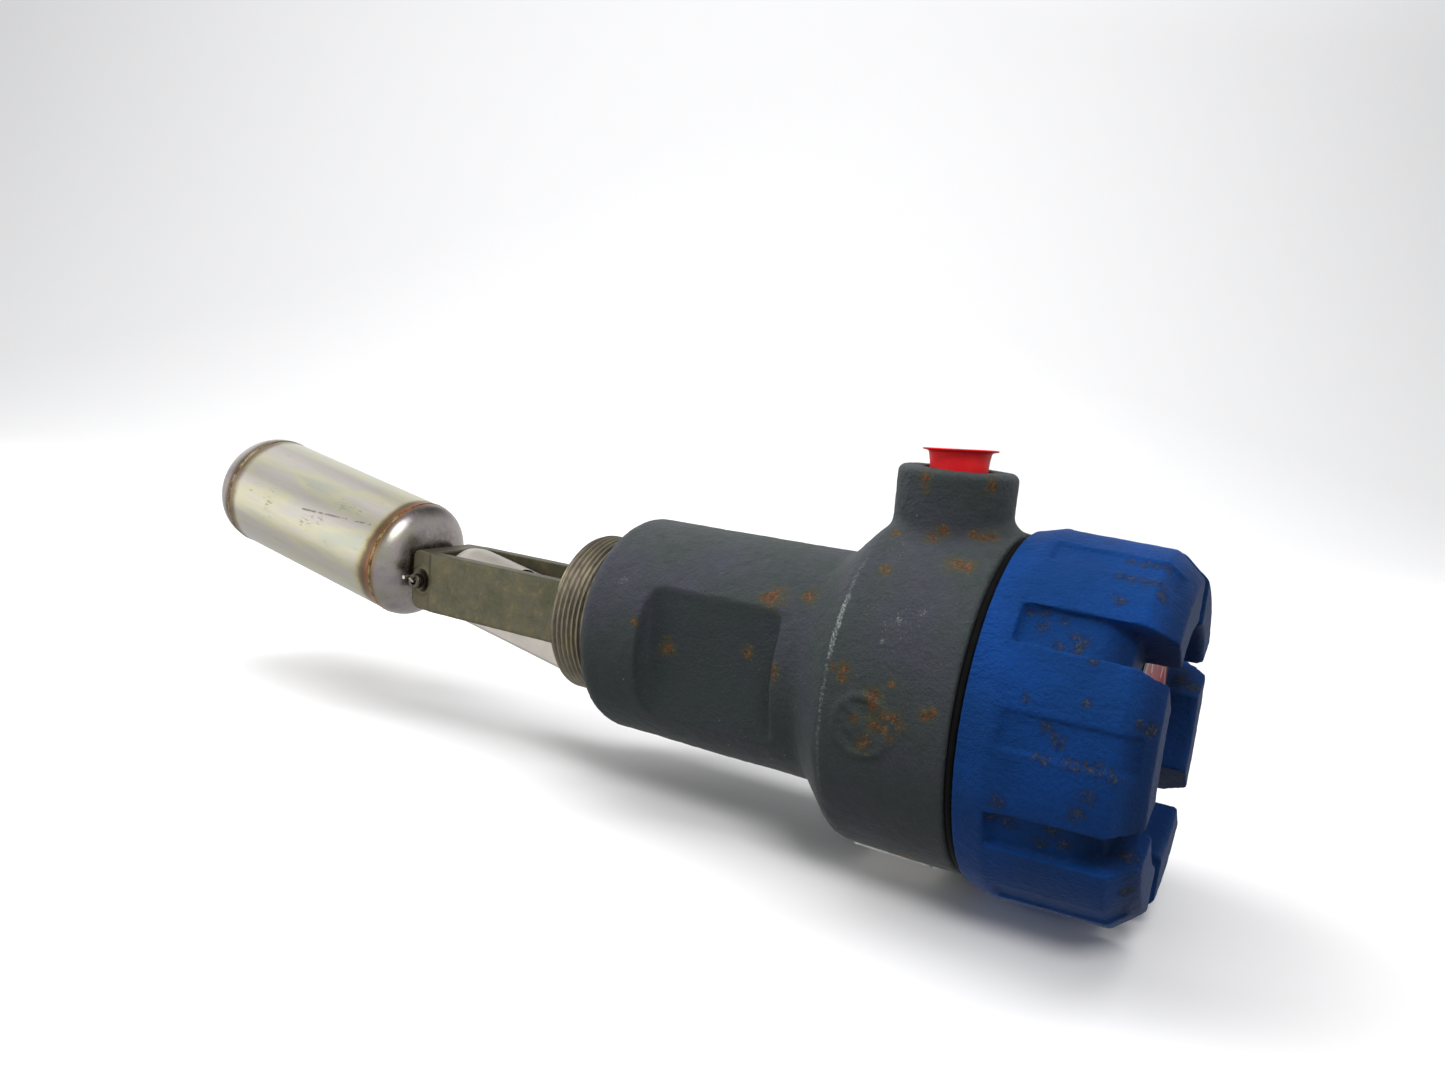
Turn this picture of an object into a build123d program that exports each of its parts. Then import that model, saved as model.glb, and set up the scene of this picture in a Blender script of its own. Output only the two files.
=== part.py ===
from build123d import *
import math
import os

# Side-mounted magnetic float level switch: a float on a pivoted lever swings a
# magnet inside a screwed-in process body, and a second magnet on the dry side
# of the pressure wall follows it and works a microswitch.
#
# Frame: millimetres. The origin is on the switch axis, in the plane where the
# process thread meets the housing neck. +X runs along the housing to the cover,
# -X to the float, +Z is up through the conduit boss. The float stands raised.

# ------------------------------------------------------- shared dimensions
# housing
DRUM_R = 54.07
DRUM_END = 140.6
CAVITY_R = 46.0
BOSS_X, BOSS_TOP = 117.2, 71.4
NAIL_X = (107.2, 128.6)  # nameplate nails, under the drum

# process body: bore on the float side, tail and bore on the dry side
SHANK_R = 31.0
WET_R = 26.2
TAIL_R = 24.4

# yoke, pivot and float
PIVOT_X = -99.3
LEVER_TILT = 10.3
FLOAT_DZ = 0.83  # float axis above the lever axis
FLOAT_R = 25.1
FLOAT_WALL = 1.0

# chassis plate and its hole places, as (y, z)
PLATE_X0, PLATE_X1 = 104.05, 106.05
SEAT_X = PLATE_X1 + 0.05  # what stands on the plate starts here
CHASSIS_PCR = 41.9
CHASSIS_HOLES = [
    (CHASSIS_PCR * math.cos(math.radians(a)), CHASSIS_PCR * math.sin(math.radians(a)))
    for a in (30, 150, 270)
]
GROUND_HOLES = ((28.0, 12.0),)
BRACKET_HOLES = ((18.5, 9.0), (-18.5, 9.0), (18.5, -9.0), (-18.5, -9.0))
BLOCK_HOLES = ((18.0, -38.0), (-18.0, -38.0))

# switch mechanism
ROCKER_X = 62.0
ROCKER_TILT = 8.0
PLUNGER_X = 67.0
SWITCH_HOLES_X = (73.0, 84.0)
SWITCH_HOLES_Z = 11.8
TAB_Z = (10.8, 14.5, 18.2)
TERMINAL_Y = (-14.0, 0.0, 14.0)
TERMINAL_Z = -25.5

os.makedirs("parts", exist_ok=True)


# ------------------------------------------------------------------- helpers
def arc(centre_x, centre_r, radius, start, end):
    """An arc segment for outline(), angles in degrees. The path is already at start."""
    middle, last = math.radians((start + end) / 2), math.radians(end)
    return (
        "arc",
        (centre_x + radius * math.cos(middle), centre_r + radius * math.sin(middle)),
        (centre_x + radius * math.cos(last), centre_r + radius * math.sin(last)),
    )


def point_xz(point):
    return Vector(point[0], 0, point[1])


def outline(path):
    """A face in the XZ plane from a closed run of (x, z) points and ("arc", middle, end)."""
    edges, here = [], path[0]
    for step in path[1:] + path[:1]:
        if step[0] == "arc":
            middle, end = step[1:]
            edges.append(
                Edge.make_three_point_arc(point_xz(here), point_xz(middle), point_xz(end))
            )
            here = end
        elif (point_xz(step) - point_xz(here)).length > 1e-6:
            edges.append(Edge.make_line(point_xz(here), point_xz(step)))
            here = step
        else:
            here = step
    return Face(Wire(edges))


def turned_x(path):
    """A solid of revolution about the X axis from a closed run of (x, radius) points."""
    return revolve(outline(path), Axis.X)


def slab(path, width):
    """The XZ outline, width thick along Y and centred on it."""
    return extrude(outline(path), amount=width / 2, both=True)


# The rods take their two ends in either order.
def rod_x(x0, x1, r):
    return Pos((x0 + x1) / 2, 0, 0) * Rot(0, 90, 0) * Cylinder(r, abs(x1 - x0))


def rod_y(y0, y1, r, x=0.0, z=0.0):
    return Pos(x, (y0 + y1) / 2, z) * Rot(90, 0, 0) * Cylinder(r, abs(y1 - y0))


def rod_z(z0, z1, r, x=0.0, y=0.0):
    return Pos(x, y, (z0 + z1) / 2) * Cylinder(r, abs(z1 - z0))


def tube_x(x0, x1, r_out, r_in):
    return rod_x(x0, x1, r_out) - rod_x(x0 - 1, x1 + 1, r_in)


def block(x0, x1, y0, y1, z0, z1):
    centre = Pos((x0 + x1) / 2, (y0 + y1) / 2, (z0 + z1) / 2)
    return centre * Box(abs(x1 - x0), abs(y1 - y0), abs(z1 - z0))


def drilled(shape, holes, x0, x1, r):
    """The shape with a hole along X at each (y, z)."""
    for y, z in holes:
        shape -= Pos(0, y, z) * rod_x(x0, x1, r)
    return shape


def copies(shape, places):
    """A copy of the shape at each (y, z)."""
    return [Pos(0, y, z) * shape for y, z in places]


def slotted_screw(tip, seat, top, shank_r, head_r, slot_floor, slot_width):
    """A screw along X, from its tip to the slotted top of its head."""
    screw = rod_x(tip, seat, shank_r) + rod_x(seat, top, head_r)
    reach, half = head_r + 1, slot_width / 2
    return screw - block(slot_floor, 2 * top - seat, -reach, reach, -half, half)


def round_edges(shape, edges, radius):
    """Rounds the edges together, or returns the same shape where that fails."""
    edges = list(edges)
    if not edges:
        return shape
    # guards against a fillet the kernel can't build
    try:
        made = fillet(edges, radius)
        if made.is_valid and made.volume > 0:
            return made
    except Exception:
        pass
    return shape


def raised(shape, dz=0.0):
    """Moves a shape built level, pivot at the origin, to the pivot and the raised pose."""
    return Pos(PIVOT_X, 0, 0) * Rot(0, LEVER_TILT, 0) * Pos(0, 0, dz) * shape


def write(node, *shapes):
    parts = [solid for shape in shapes for solid in shape.solids()]
    out = parts[0] if len(parts) == 1 else Compound(parts)
    export_step(out, f"parts/{node}.step")


# ------------------------------------------------------------------- housing
NECK_R = 39.5
NECK_EDGE_R = 6.3
NECK_END = 84.5
CONE_ANGLE = 46.0
CONE_FOOT_R = 6.0
DRUM_START = 104.51
SHOULDER_R = 8.0
RIM_R = 0.9
MOUTH_R = 50.0

cone_cos, cone_sin = math.cos(math.radians(CONE_ANGLE)), math.sin(math.radians(CONE_ANGLE))
housing = turned_x(
    [
        (0, 0),
        (0, NECK_R - NECK_EDGE_R),
        arc(NECK_EDGE_R, NECK_R - NECK_EDGE_R, NECK_EDGE_R, 180, 90),
        (NECK_END, NECK_R),
        arc(NECK_END, NECK_R + CONE_FOOT_R, CONE_FOOT_R, -90, -90 + CONE_ANGLE),
        (DRUM_START - SHOULDER_R * cone_sin, DRUM_R - SHOULDER_R * (1 - cone_cos)),
        arc(DRUM_START, DRUM_R - SHOULDER_R, SHOULDER_R, 90 + CONE_ANGLE, 90),
        (DRUM_END - RIM_R, DRUM_R),
        arc(DRUM_END - RIM_R, DRUM_R - RIM_R, RIM_R, 90, 0),
        (DRUM_END, 0),
    ]
)

# wrench flats on both Y sides of the neck, with rounded end walls
FLAT_Y = 32.5
FLAT_X0, FLAT_X1 = 26.0, 77.5
FLAT_HEIGHT = 46.0
FLAT_R0, FLAT_R1 = 6.0, 3.0
flat_tool = Rot(90, 0, 0) * slab(
    [
        (FLAT_X0, 50.0),
        (FLAT_X0, FLAT_Y + FLAT_R0),
        arc(FLAT_X0 + FLAT_R0, FLAT_Y + FLAT_R0, FLAT_R0, 180, 270),
        (FLAT_X1 - FLAT_R1, FLAT_Y),
        arc(FLAT_X1 - FLAT_R1, FLAT_Y + FLAT_R1, FLAT_R1, -90, 0),
        (FLAT_X1, 50.0),
    ],
    FLAT_HEIGHT,
)
housing -= flat_tool
housing -= Rot(180, 0, 0) * flat_tool
flat_rims = [
    e
    for e in housing.edges()
    if FLAT_X0 - 0.6 < e.center().X < FLAT_X1 + 0.6
    and abs(e.center().Y) > 33.2
    and e.length < 60
    and e.geom_type != GeomType.LINE
]
housing = round_edges(housing, flat_rims, 1.2)

# conduit boss with its foot
BOSS_R = 18.8
boss = rod_z(30, BOSS_TOP, BOSS_R, BOSS_X)
housing += round_edges(boss, boss.edges().group_by(Axis.Z)[-1], 2.4)


def on_boss(edge):
    """Whether the edge lies on the boss's side, tried at a point off its symmetry plane."""
    point = edge.position_at(0.37)
    return abs(math.hypot(point.X - BOSS_X, point.Y) - BOSS_R) < 0.05


foot_edges = [
    e
    for e in housing.edges()
    if 40 < e.center().Z < 58
    and abs(e.center().X - BOSS_X) < 24
    and e.length > 20
    and on_boss(e)
]
# the foot takes the largest radius that can be built
for foot_r in (5.0, 4.0, 3.0, 2.0):
    rounded = round_edges(housing, foot_edges, foot_r)
    if rounded is not housing:
        housing = rounded
        break

# round blank medallion with a raised rim, on the -Y side of the drum
MEDAL_X, MEDAL_Z = 115.6, -1.0
medal = rod_y(-60, -40, 9.3, MEDAL_X, MEDAL_Z) & rod_x(100, 130, DRUM_R + 0.7)
medal -= rod_y(-60, -DRUM_R + 1.4, 7.9, MEDAL_X, MEDAL_Z)
medal_floor = rod_y(-60, -40, 8.2, MEDAL_X, MEDAL_Z) & rod_x(100, 130, DRUM_R + 0.15)
housing += medal + medal_floor

# inside: shank socket, tail bore, nut room, cone, drum cavity, mouth
housing -= turned_x(
    [
        (-1, 0),
        (-1, SHANK_R + 0.05),
        (22, SHANK_R + 0.05),
        (22, TAIL_R + 0.1),
        (46, TAIL_R + 0.1),
        (46, 28.5),
        (80, 28.5),
        (90, 38.5),
        (104, 38.5),
        (104, CAVITY_R),
        (125, CAVITY_R),
        (127, MOUTH_R),
        (DRUM_END + 1, MOUTH_R),
        (DRUM_END + 1, 0),
    ]
)
ENTRY_R = 10.05
RECESS_R, RECESS_DEPTH = 10.9, 8.0
housing -= rod_z(40, BOSS_TOP + 1, ENTRY_R, BOSS_X)
housing -= rod_z(BOSS_TOP - RECESS_DEPTH, BOSS_TOP + 1, RECESS_R, BOSS_X)
housing = drilled(housing, CHASSIS_HOLES, 95, 105, 2.0)
for x in NAIL_X:
    housing -= rod_z(-DRUM_R - 1, -DRUM_R + 4, 0.95, x)
write("housing", housing)

# -------------------------------------------------------------- process body
# 2 inch thread, 11.5 threads per inch, cut as plain rings
THREAD_R, THREAD_ROOT_R = 29.9, 28.55
THREAD_START = -19.7
THREAD_PITCH = 2.209
THREAD_RINGS = 8
CREST, FLANK = 0.5, 0.74
DRY_R = 20.5
TAIL_END = 54.5
WALL_X0, WALL_X1 = 14.0, 17.5  # pressure wall

path = [(THREAD_START, WET_R), (THREAD_START, THREAD_ROOT_R)]
for i in range(THREAD_RINGS):
    x = THREAD_START + 0.55 + i * THREAD_PITCH
    path += [
        (x, THREAD_ROOT_R),
        (x + FLANK, THREAD_R),
        (x + FLANK + CREST, THREAD_R),
        (x + 2 * FLANK + CREST, THREAD_ROOT_R),
    ]
# the last flank rises onto the plain land next to the housing
root_gap = THREAD_PITCH - CREST - 2 * FLANK
land_x = x + THREAD_PITCH - 0.3 * root_gap
path += [
    (land_x, THREAD_ROOT_R),
    (land_x + FLANK, THREAD_R),
    (0, THREAD_R),
    (0.1, THREAD_R),
    (0.1, SHANK_R - 0.8),
    (0.9, SHANK_R),
    (20.4, SHANK_R),
    (20.4, TAIL_R),
    (TAIL_END, TAIL_R),
    (TAIL_END, DRY_R),
    (WALL_X1, DRY_R),
    (WALL_X1, 0),
    (WALL_X0, 0),
    (WALL_X0, WET_R),
]
process_body = turned_x(path)
process_body -= tube_x(-15.3, -13.7, WET_R + 0.75, WET_R - 1)  # snap ring groove
write("process_body", process_body)

write("body_gasket", tube_x(20.45, 21.95, 30.8, TAIL_R + 0.15))

nut = tube_x(46.05, 53.5, 28.2, TAIL_R + 0.05)
for angle in (0, 90, 180, 270):
    nut -= Rot(angle, 0, 0) * block(49.5, 54, -3, 3, 26.0, 30)
write("body_lock_nut", nut)

# --------------------------------------------------------------------- yoke
ARM_OUT, ARM_IN = 16.6, 11.6
ARM_Z = 12.3
ARM_END = -7.5
ARM_SHOULDER = -92.6
NOSE_X0, NOSE_X1 = -106.0, -93.2
NOSE_R = 4.6


def yoke_arm(side):
    """One arm and its half of the nose, from a plan outline, on the given Y side."""
    points = [
        (ARM_END, ARM_IN),
        (NOSE_X1, ARM_IN),
        (NOSE_X1, 2.0),
        (NOSE_X0, 2.0),
        (NOSE_X0, 13.8),
        (NOSE_X0 + 1.2, 14.9),
        (ARM_SHOULDER, ARM_OUT),
        (ARM_END, ARM_OUT),
    ]
    wire = Wire.make_polygon([Vector(x, side * y, -ARM_Z) for x, y in points], close=True)
    return extrude(Face(wire), amount=2 * ARM_Z, dir=(0, 0, 1))


yoke = yoke_arm(1) + yoke_arm(-1) + block(NOSE_X0, NOSE_X1, -3, 3, -ARM_Z, ARM_Z)
# side view with rounded nose corners
yoke &= slab(
    [
        (-5.0, -ARM_Z),
        (-5.0, ARM_Z),
        (NOSE_X0 + NOSE_R, ARM_Z),
        arc(NOSE_X0 + NOSE_R, ARM_Z - NOSE_R, NOSE_R, 90, 180),
        (NOSE_X0, -ARM_Z + NOSE_R),
        arc(NOSE_X0 + NOSE_R, -ARM_Z + NOSE_R, NOSE_R, 180, 270),
    ],
    60,
)
arm_edges = [
    e
    for e in yoke.edges().filter_by(GeomType.LINE)
    if abs(e.length - (ARM_END - ARM_SHOULDER)) < 0.5
    and abs(abs(e.center().Y) - ARM_OUT) < 0.01
]
yoke = round_edges(yoke, arm_edges, 0.9)
# window for the lever's tongue, pin bore and its counterbores
yoke -= block(NOSE_X0 - 1, NOSE_X1 + 1, -5.6, 5.6, -8.0, 8.0)
yoke -= rod_y(-30, 30, 2.2, PIVOT_X)
yoke -= rod_y(15.2, 30, 4.7, PIVOT_X) + rod_y(-30, -15.2, 4.7, PIVOT_X)
# ring in the process body, filled outside the arms' inner faces
BASE_X0, BASE_X1 = -13.0, -7.0
BASE_R = WET_R - 0.03
base = rod_x(BASE_X0, BASE_X1, BASE_R) - block(-14, -6, -ARM_IN, ARM_IN, -40, 40)
base += tube_x(BASE_X0, BASE_X1, BASE_R, 24.3)
yoke += base
write("float_yoke", yoke)

# snap ring, open at the bottom
snap_ring = tube_x(-15.1, -13.9, WET_R + 0.6, 24.4)
snap_ring -= block(-16, -13, -5, 5, -40, 0)
write("yoke_snap_ring", snap_ring)

# ------------------------------------------------------------------ pivot pin
pin = rod_y(-18.9, 18.9, 2.17, PIVOT_X)
washers = []
for side in (-1, 1):
    head = rod_y(side * 17.3, side * 19.9, 3.1, PIVOT_X)
    pin += round_edges(head, head.edges(), 0.6)
    washer = rod_y(side * 15.25, side * 17.2, 3.9, PIVOT_X)
    washers.append(washer - rod_y(-30, 30, 2.25, PIVOT_X))
pin -= rod_y(-40, -18.6, 1.5, PIVOT_X)
write("pivot_pin", pin)
write("pivot_washers", *washers)

# the bent end of the wire that locks the pin, standing out of its bored -Y end
wire_line = Edge.make_spline(
    [
        Vector(PIVOT_X, -18.8, 0.0),
        Vector(PIVOT_X, -20.2, 0.35),
        Vector(PIVOT_X - 0.2, -21.6, 1.9),
        Vector(PIVOT_X - 0.2, -25.0, 2.3),
    ],
    tangents=[Vector(0, -1, 0), Vector(0, -1, 0)],
)
wire_section = Plane(origin=(PIVOT_X, -18.8, 0.0), z_dir=(0, -1, 0)) * Circle(0.75)
write("pin_lock_wire", sweep(wire_section, path=Wire([wire_line])))

# ------------------------------------------- float, built level for raised()
# the pivot is at the origin and the float lies along -X
FLOAT_LEN = 95.45  # between the seams
INNER_SEAM = -20.58
OUTER_SEAM = INNER_SEAM - FLOAT_LEN
INNER_DOME, OUTER_DOME = 12.6, 19.0  # heights over the seams
SEAM_GAP = 0.9  # from a seam to the edge of tube or cap
STEM_HOLE_R = 4.0
DOME_SPANS = 7


def dome(seam_x, height, side):
    """A pressed end cap: a quarter ellipse shell, its open end at seam_x, bulging to side."""

    def ellipse(rise, radius):
        angles = [math.pi / 2 * i / DOME_SPANS for i in range(DOME_SPANS)]
        points = [(seam_x + side * rise * math.sin(t), radius * math.cos(t)) for t in angles]
        return [point_xz(p) for p in points + [(seam_x + side * rise, 0.0)]]

    outer = ellipse(height, FLOAT_R)
    inner = ellipse(height - FLOAT_WALL, FLOAT_R - FLOAT_WALL)
    edges = [
        Edge.make_spline(outer, tangents=[Vector(side, 0, 0), Vector(0, 0, -1)]),
        Edge.make_line(outer[-1], inner[-1]),
        Edge.make_spline(inner[::-1], tangents=[Vector(0, 0, 1), Vector(-side, 0, 0)]),
        Edge.make_line(inner[0], outer[0]),
    ]
    return revolve(Face(Wire(edges)), Axis.X)


def girth_weld(seam_x):
    """A weld bead that fills the gap between tube and cap."""
    half, proud = 0.89, 0.28
    root_r = FLOAT_R - FLOAT_WALL - 0.3
    return turned_x(
        [
            (seam_x - half, root_r),
            (seam_x - half, FLOAT_R),
            ("arc", (seam_x, FLOAT_R + proud), (seam_x + half, FLOAT_R)),
            (seam_x + half, root_r),
        ]
    )


tube = tube_x(OUTER_SEAM + SEAM_GAP, INNER_SEAM - SEAM_GAP, FLOAT_R, FLOAT_R - FLOAT_WALL)
inner_dome = dome(INNER_SEAM + SEAM_GAP, INNER_DOME - SEAM_GAP, 1)
inner_dome -= rod_x(INNER_SEAM, -INNER_SEAM, STEM_HOLE_R)
outer_dome = dome(OUTER_SEAM - SEAM_GAP, OUTER_DOME - SEAM_GAP, -1)
stem = rod_x(-10.4, -4.6, 3.95) + rod_x(-4.6, -2.9, 2.6)
dome_tip = INNER_SEAM + INNER_DOME
stem_weld = turned_x(
    [
        (dome_tip + 0.03, STEM_HOLE_R),
        (dome_tip + 0.03, 5.35),
        ("arc", (dome_tip + 0.8, 5.05), (dome_tip + 1.15, STEM_HOLE_R)),
    ]
)
for node, shape in (
    ("float_tube", tube),
    ("float_dome_inner", inner_dome),
    ("float_dome_outer", outer_dome),
    ("float_weld_inner", girth_weld(INNER_SEAM)),
    ("float_weld_outer", girth_weld(OUTER_SEAM)),
    ("float_stem", stem),
    ("stem_weld", stem_weld),
):
    write(node, raised(shape, FLOAT_DZ))

# lever block between the arms, its tongue through the nose, and the magnet rod
LEVER_R, LEVER_RISE = 15.3, 1.8
LEVER_X0, LEVER_X1 = 15.5, 77.3
LEVER_HALF_W = 10.4
lever = rod_x(LEVER_X0, LEVER_X1, LEVER_R) + Pos(LEVER_X0, 0, 0) * Sphere(LEVER_R)
lever = Pos(0, 0, LEVER_RISE) * lever
lever &= block(9.4, LEVER_X1, -LEVER_HALF_W, LEVER_HALF_W, -30, 30)
side_edges = [
    e
    for e in lever.edges()
    if abs(abs(e.center().Y) - LEVER_HALF_W) < 0.05 and e.length > 20
]
lever = round_edges(lever, side_edges, 0.5)
lever -= rod_z(-25, 25, 2.1, 41.4)
lever += block(-4.5, 18.0, -5.0, 5.0, -5.4, 5.4)  # tongue
lever -= rod_y(-12, 12, 2.25)  # pivot bore
lever -= Pos(0, 0, FLOAT_DZ) * rod_x(-5, -2.8, 2.65)  # stem socket
lever += rod_x(77.0, 100.3, 3.6)
lever += rod_x(100.3, 101.3, 5.0)
lever -= rod_x(96.3, 102.3, 1.6)
write("magnet_lever", raised(lever))

magnet = rod_x(101.35, 112.3, 5.0) - rod_x(100, 114, 1.7)
magnet -= rod_x(110.7, 114, 3.2)
write("float_magnet", raised(magnet))
write("magnet_screw", raised(slotted_screw(96.9, 110.75, 112.2, 1.55, 3.0, 111.3, 0.9)))

# ------------------------------------------------------------------- chassis
plate = rod_x(PLATE_X0, PLATE_X1, CAVITY_R - 0.4)
plate -= block(103, 107, -9.5, 9.5, -4, 22)
for holes, hole_r in (
    (CHASSIS_HOLES, 2.2),
    (GROUND_HOLES, 1.6),
    (BRACKET_HOLES, 1.6),
    (BLOCK_HOLES, 1.2),
):
    plate = drilled(plate, holes, 103, 107, hole_r)
write("chassis_plate", plate)
screw = slotted_screw(96, SEAT_X, 108.6, 1.95, 3.6, 107.6, 1.0)
write("chassis_screws", *copies(screw, CHASSIS_HOLES))

# two cheeks along X and a foot on the plate
CHEEK_IN, CHEEK_OUT = 11.0, 12.5
BRACKET_X0, BRACKET_X1 = 56.5, 104.0
bracket = block(BRACKET_X0, BRACKET_X1, -CHEEK_OUT, -CHEEK_IN, -14, 14)
bracket += block(BRACKET_X0, BRACKET_X1, CHEEK_IN, CHEEK_OUT, -14, 14)
bracket += block(102.4, BRACKET_X1, -25, 25, -14, 14)
bracket -= block(100, 105, -9.0, 9.0, -4, 20)
bracket -= rod_y(-20, 20, 2.03, ROCKER_X)
for x in SWITCH_HOLES_X:
    bracket -= rod_y(-20, 20, 1.3, x, SWITCH_HOLES_Z)
bracket = drilled(bracket, BRACKET_HOLES, 101, 105, 1.3)
write("switch_bracket", bracket)
screw = slotted_screw(102.0, SEAT_X, 107.9, 1.25, 2.7, 107.2, 0.8)
write("bracket_screws", *copies(screw, BRACKET_HOLES))


# --------------------------- magnet rocker, built level, its pin at the origin
def tilted(shape):
    """Moves the shape to the rocker pin, in the pose it takes with the float raised."""
    return Pos(ROCKER_X, 0, 0) * Rot(0, ROCKER_TILT, 0) * shape


STRIKER_X, STRIKER_Z = 5.0, 2.5
rocker = block(-32, 8, -4.5, 4.5, -2.5, 2.5)
rocker += rod_y(-8.5, 8.5, 4.6)
rocker += rod_x(-35.0, -32.0, 4.0)
rocker -= rod_y(-10, 10, 2.06)
rocker -= rod_y(-6, 6, 1.55, STRIKER_X, STRIKER_Z)
rocker -= block(3.2, 7.2, -3.0, 3.0, 2.3, 4)
rocker -= rod_x(-36, -28, 1.5)
write("magnet_rocker", tilted(rocker))
write("rocker_striker", tilted(rod_y(-4.4, 4.4, 1.5, STRIKER_X, STRIKER_Z)))
write("rocker_pin", rod_y(-13.4, 13.4, 2.0, ROCKER_X))
magnet = rod_x(-42.0, -35.05, 7.0) - rod_x(-43, -34, 1.6)
magnet -= rod_x(-43, -40.6, 3.2)
write("switch_magnet", tilted(magnet))
screw = slotted_screw(-29, -40.65, -41.9, 1.4, 2.9, -41.2, 0.8)
write("switch_magnet_screw", tilted(screw))

# --------------------------------------------------------------- microswitch
switch = block(60.5, 88.0, -5.0, 5.0, 8.4, 20.5)
switch -= rod_z(7, 12.5, 1.3, PLUNGER_X)
for x in SWITCH_HOLES_X:
    switch -= rod_y(-20, 20, 1.35, x, SWITCH_HOLES_Z)
for z in TAB_Z:
    switch -= block(85.0, 89, -1.65, 1.65, z - 0.45, z + 0.45)
write("microswitch_body", switch)
write("microswitch_plunger", rod_z(3.42, 10.6, 1.2, PLUNGER_X))
tabs = [block(85.3, 94.0, -1.6, 1.6, z - 0.4, z + 0.4) for z in TAB_Z]
write("microswitch_terminals", *tabs)

spacers, screws = [], []
for x in SWITCH_HOLES_X:
    for side in (-1, 1):
        spacer = rod_y(side * 5.03, side * 10.97, 2.6, x, SWITCH_HOLES_Z)
        spacers.append(spacer - rod_y(-20, 20, 1.35, x, SWITCH_HOLES_Z))
    # shank, head at -Y, nut at +Y
    screw = rod_y(-12.6, 15.0, 1.25, x, SWITCH_HOLES_Z)
    screw += rod_y(-14.4, -12.55, 2.4, x, SWITCH_HOLES_Z)
    screw += rod_y(12.55, 14.3, 2.5, x, SWITCH_HOLES_Z)
    screws.append(screw)
write("microswitch_spacers", *spacers)
write("microswitch_screws", *screws)

# ------------------------------------------------------------ terminal block
terminals = block(SEAT_X, 121.0, -22, 22, -34.5, -16.5)
terminals -= block(117.5, 122, -23, 23, -19.5, -16)
for y in TERMINAL_Y:
    terminals -= Pos(0, y, TERMINAL_Z) * rod_x(112, 122, 3.1)
    terminals -= rod_z(-24, -15, 1.6, 111.5, y)  # wire entry
for y in (-7.0, 7.0):
    terminals -= block(119.6, 122, y - 0.6, y + 0.6, -36, -15)
# two feet below, for the mounting screws
terminals += block(SEAT_X, 109.0, -21, -15, -40.5, -34.4) + block(
    SEAT_X, 109.0, 15, 21, -40.5, -34.4
)
terminals = drilled(terminals, BLOCK_HOLES, 103, 110, 1.35)
write("terminal_block", terminals)

screw = rod_x(112.4, 117.4, 2.9) - block(116.5, 118, -4, 4, -0.5, 0.5)
write("terminal_screws", *copies(screw, [(y, TERMINAL_Z) for y in TERMINAL_Y]))
screw = slotted_screw(104.15, 109.05, 110.6, 1.15, 2.4, 110.0, 0.8)
write("terminal_block_screws", *copies(screw, BLOCK_HOLES))
screw = slotted_screw(103.0, SEAT_X, 108.8, 1.55, 4.2, 107.8, 1.0)
write("ground_screw", *copies(screw, GROUND_HOLES))

# lead wires from the microswitch tabs through the plate to the terminal block:
# x, share of the terminal's y, z of the middle wire, share of the tab's z offset
WIRE_STATIONS = (
    (94.4, 0.05, 14.5, 1.0),
    (98.6, 0.16, 13.6, 1.0),
    (102.6, 0.30, 9.5, 1.0),
    (105.6, 0.42, 2.2, 0.62),
    (108.8, 0.72, -5.2, 0.25),
    (111.0, 0.95, -13.0, 0.0),
    (111.5, 1.0, -20.5, 0.0),
)
wires = []
for y, tab_z in zip(TERMINAL_Y, TAB_Z):
    offset = tab_z - TAB_Z[1]
    points = [Vector(x, s * y, z + t * offset) for x, s, z, t in WIRE_STATIONS]
    line = Edge.make_spline(points)
    section = Plane(origin=points[0], z_dir=line.tangent_at(0)) * Circle(0.8)
    wires.append(sweep(section, path=Wire([line])))
write("lead_wires", *wires)

# --------------------------------------------------------------------- cover
COVER_START = 143.6
COVER_END = 192.75
COVER_FACE = 182.7
COVER_THREAD_R, COVER_ROOT_R = 49.4, 48.5
COVER_PITCH = 2.0
COVER_GROOVES = 6
LUGS = 6
LUG_ANGLE = 8.75
LUG_INNER_R = 35.0
SLOT_W, CHANNEL_W = 12.0, 10.5

profile = [(128.0, 44.0), (128.0, 48.6), (128.8, COVER_THREAD_R)]
for i in range(COVER_GROOVES):
    x = 129.4 + i * COVER_PITCH
    profile += [
        (x, COVER_THREAD_R),
        (x + 0.5, COVER_ROOT_R),
        (x + 0.9, COVER_ROOT_R),
        (x + 1.4, COVER_THREAD_R),
    ]
profile += [
    (COVER_START, COVER_THREAD_R),
    (COVER_START, 54.9),
    (COVER_START + 0.5, 55.4),
    (152.0, 57.4),
    (184.3, 55.95),
    (185.4, 55.2),
    (192.0, 49.4),
    (COVER_END, 48.2),
    (COVER_END, LUG_INNER_R + 1.2),
    (COVER_END - 1.2, LUG_INNER_R),
    (COVER_FACE, LUG_INNER_R),
    (COVER_FACE, 0),
    (177.6, 0),
    (177.6, 42.0),
    (175.6, 44.0),
]
cover = turned_x(profile)

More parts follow.
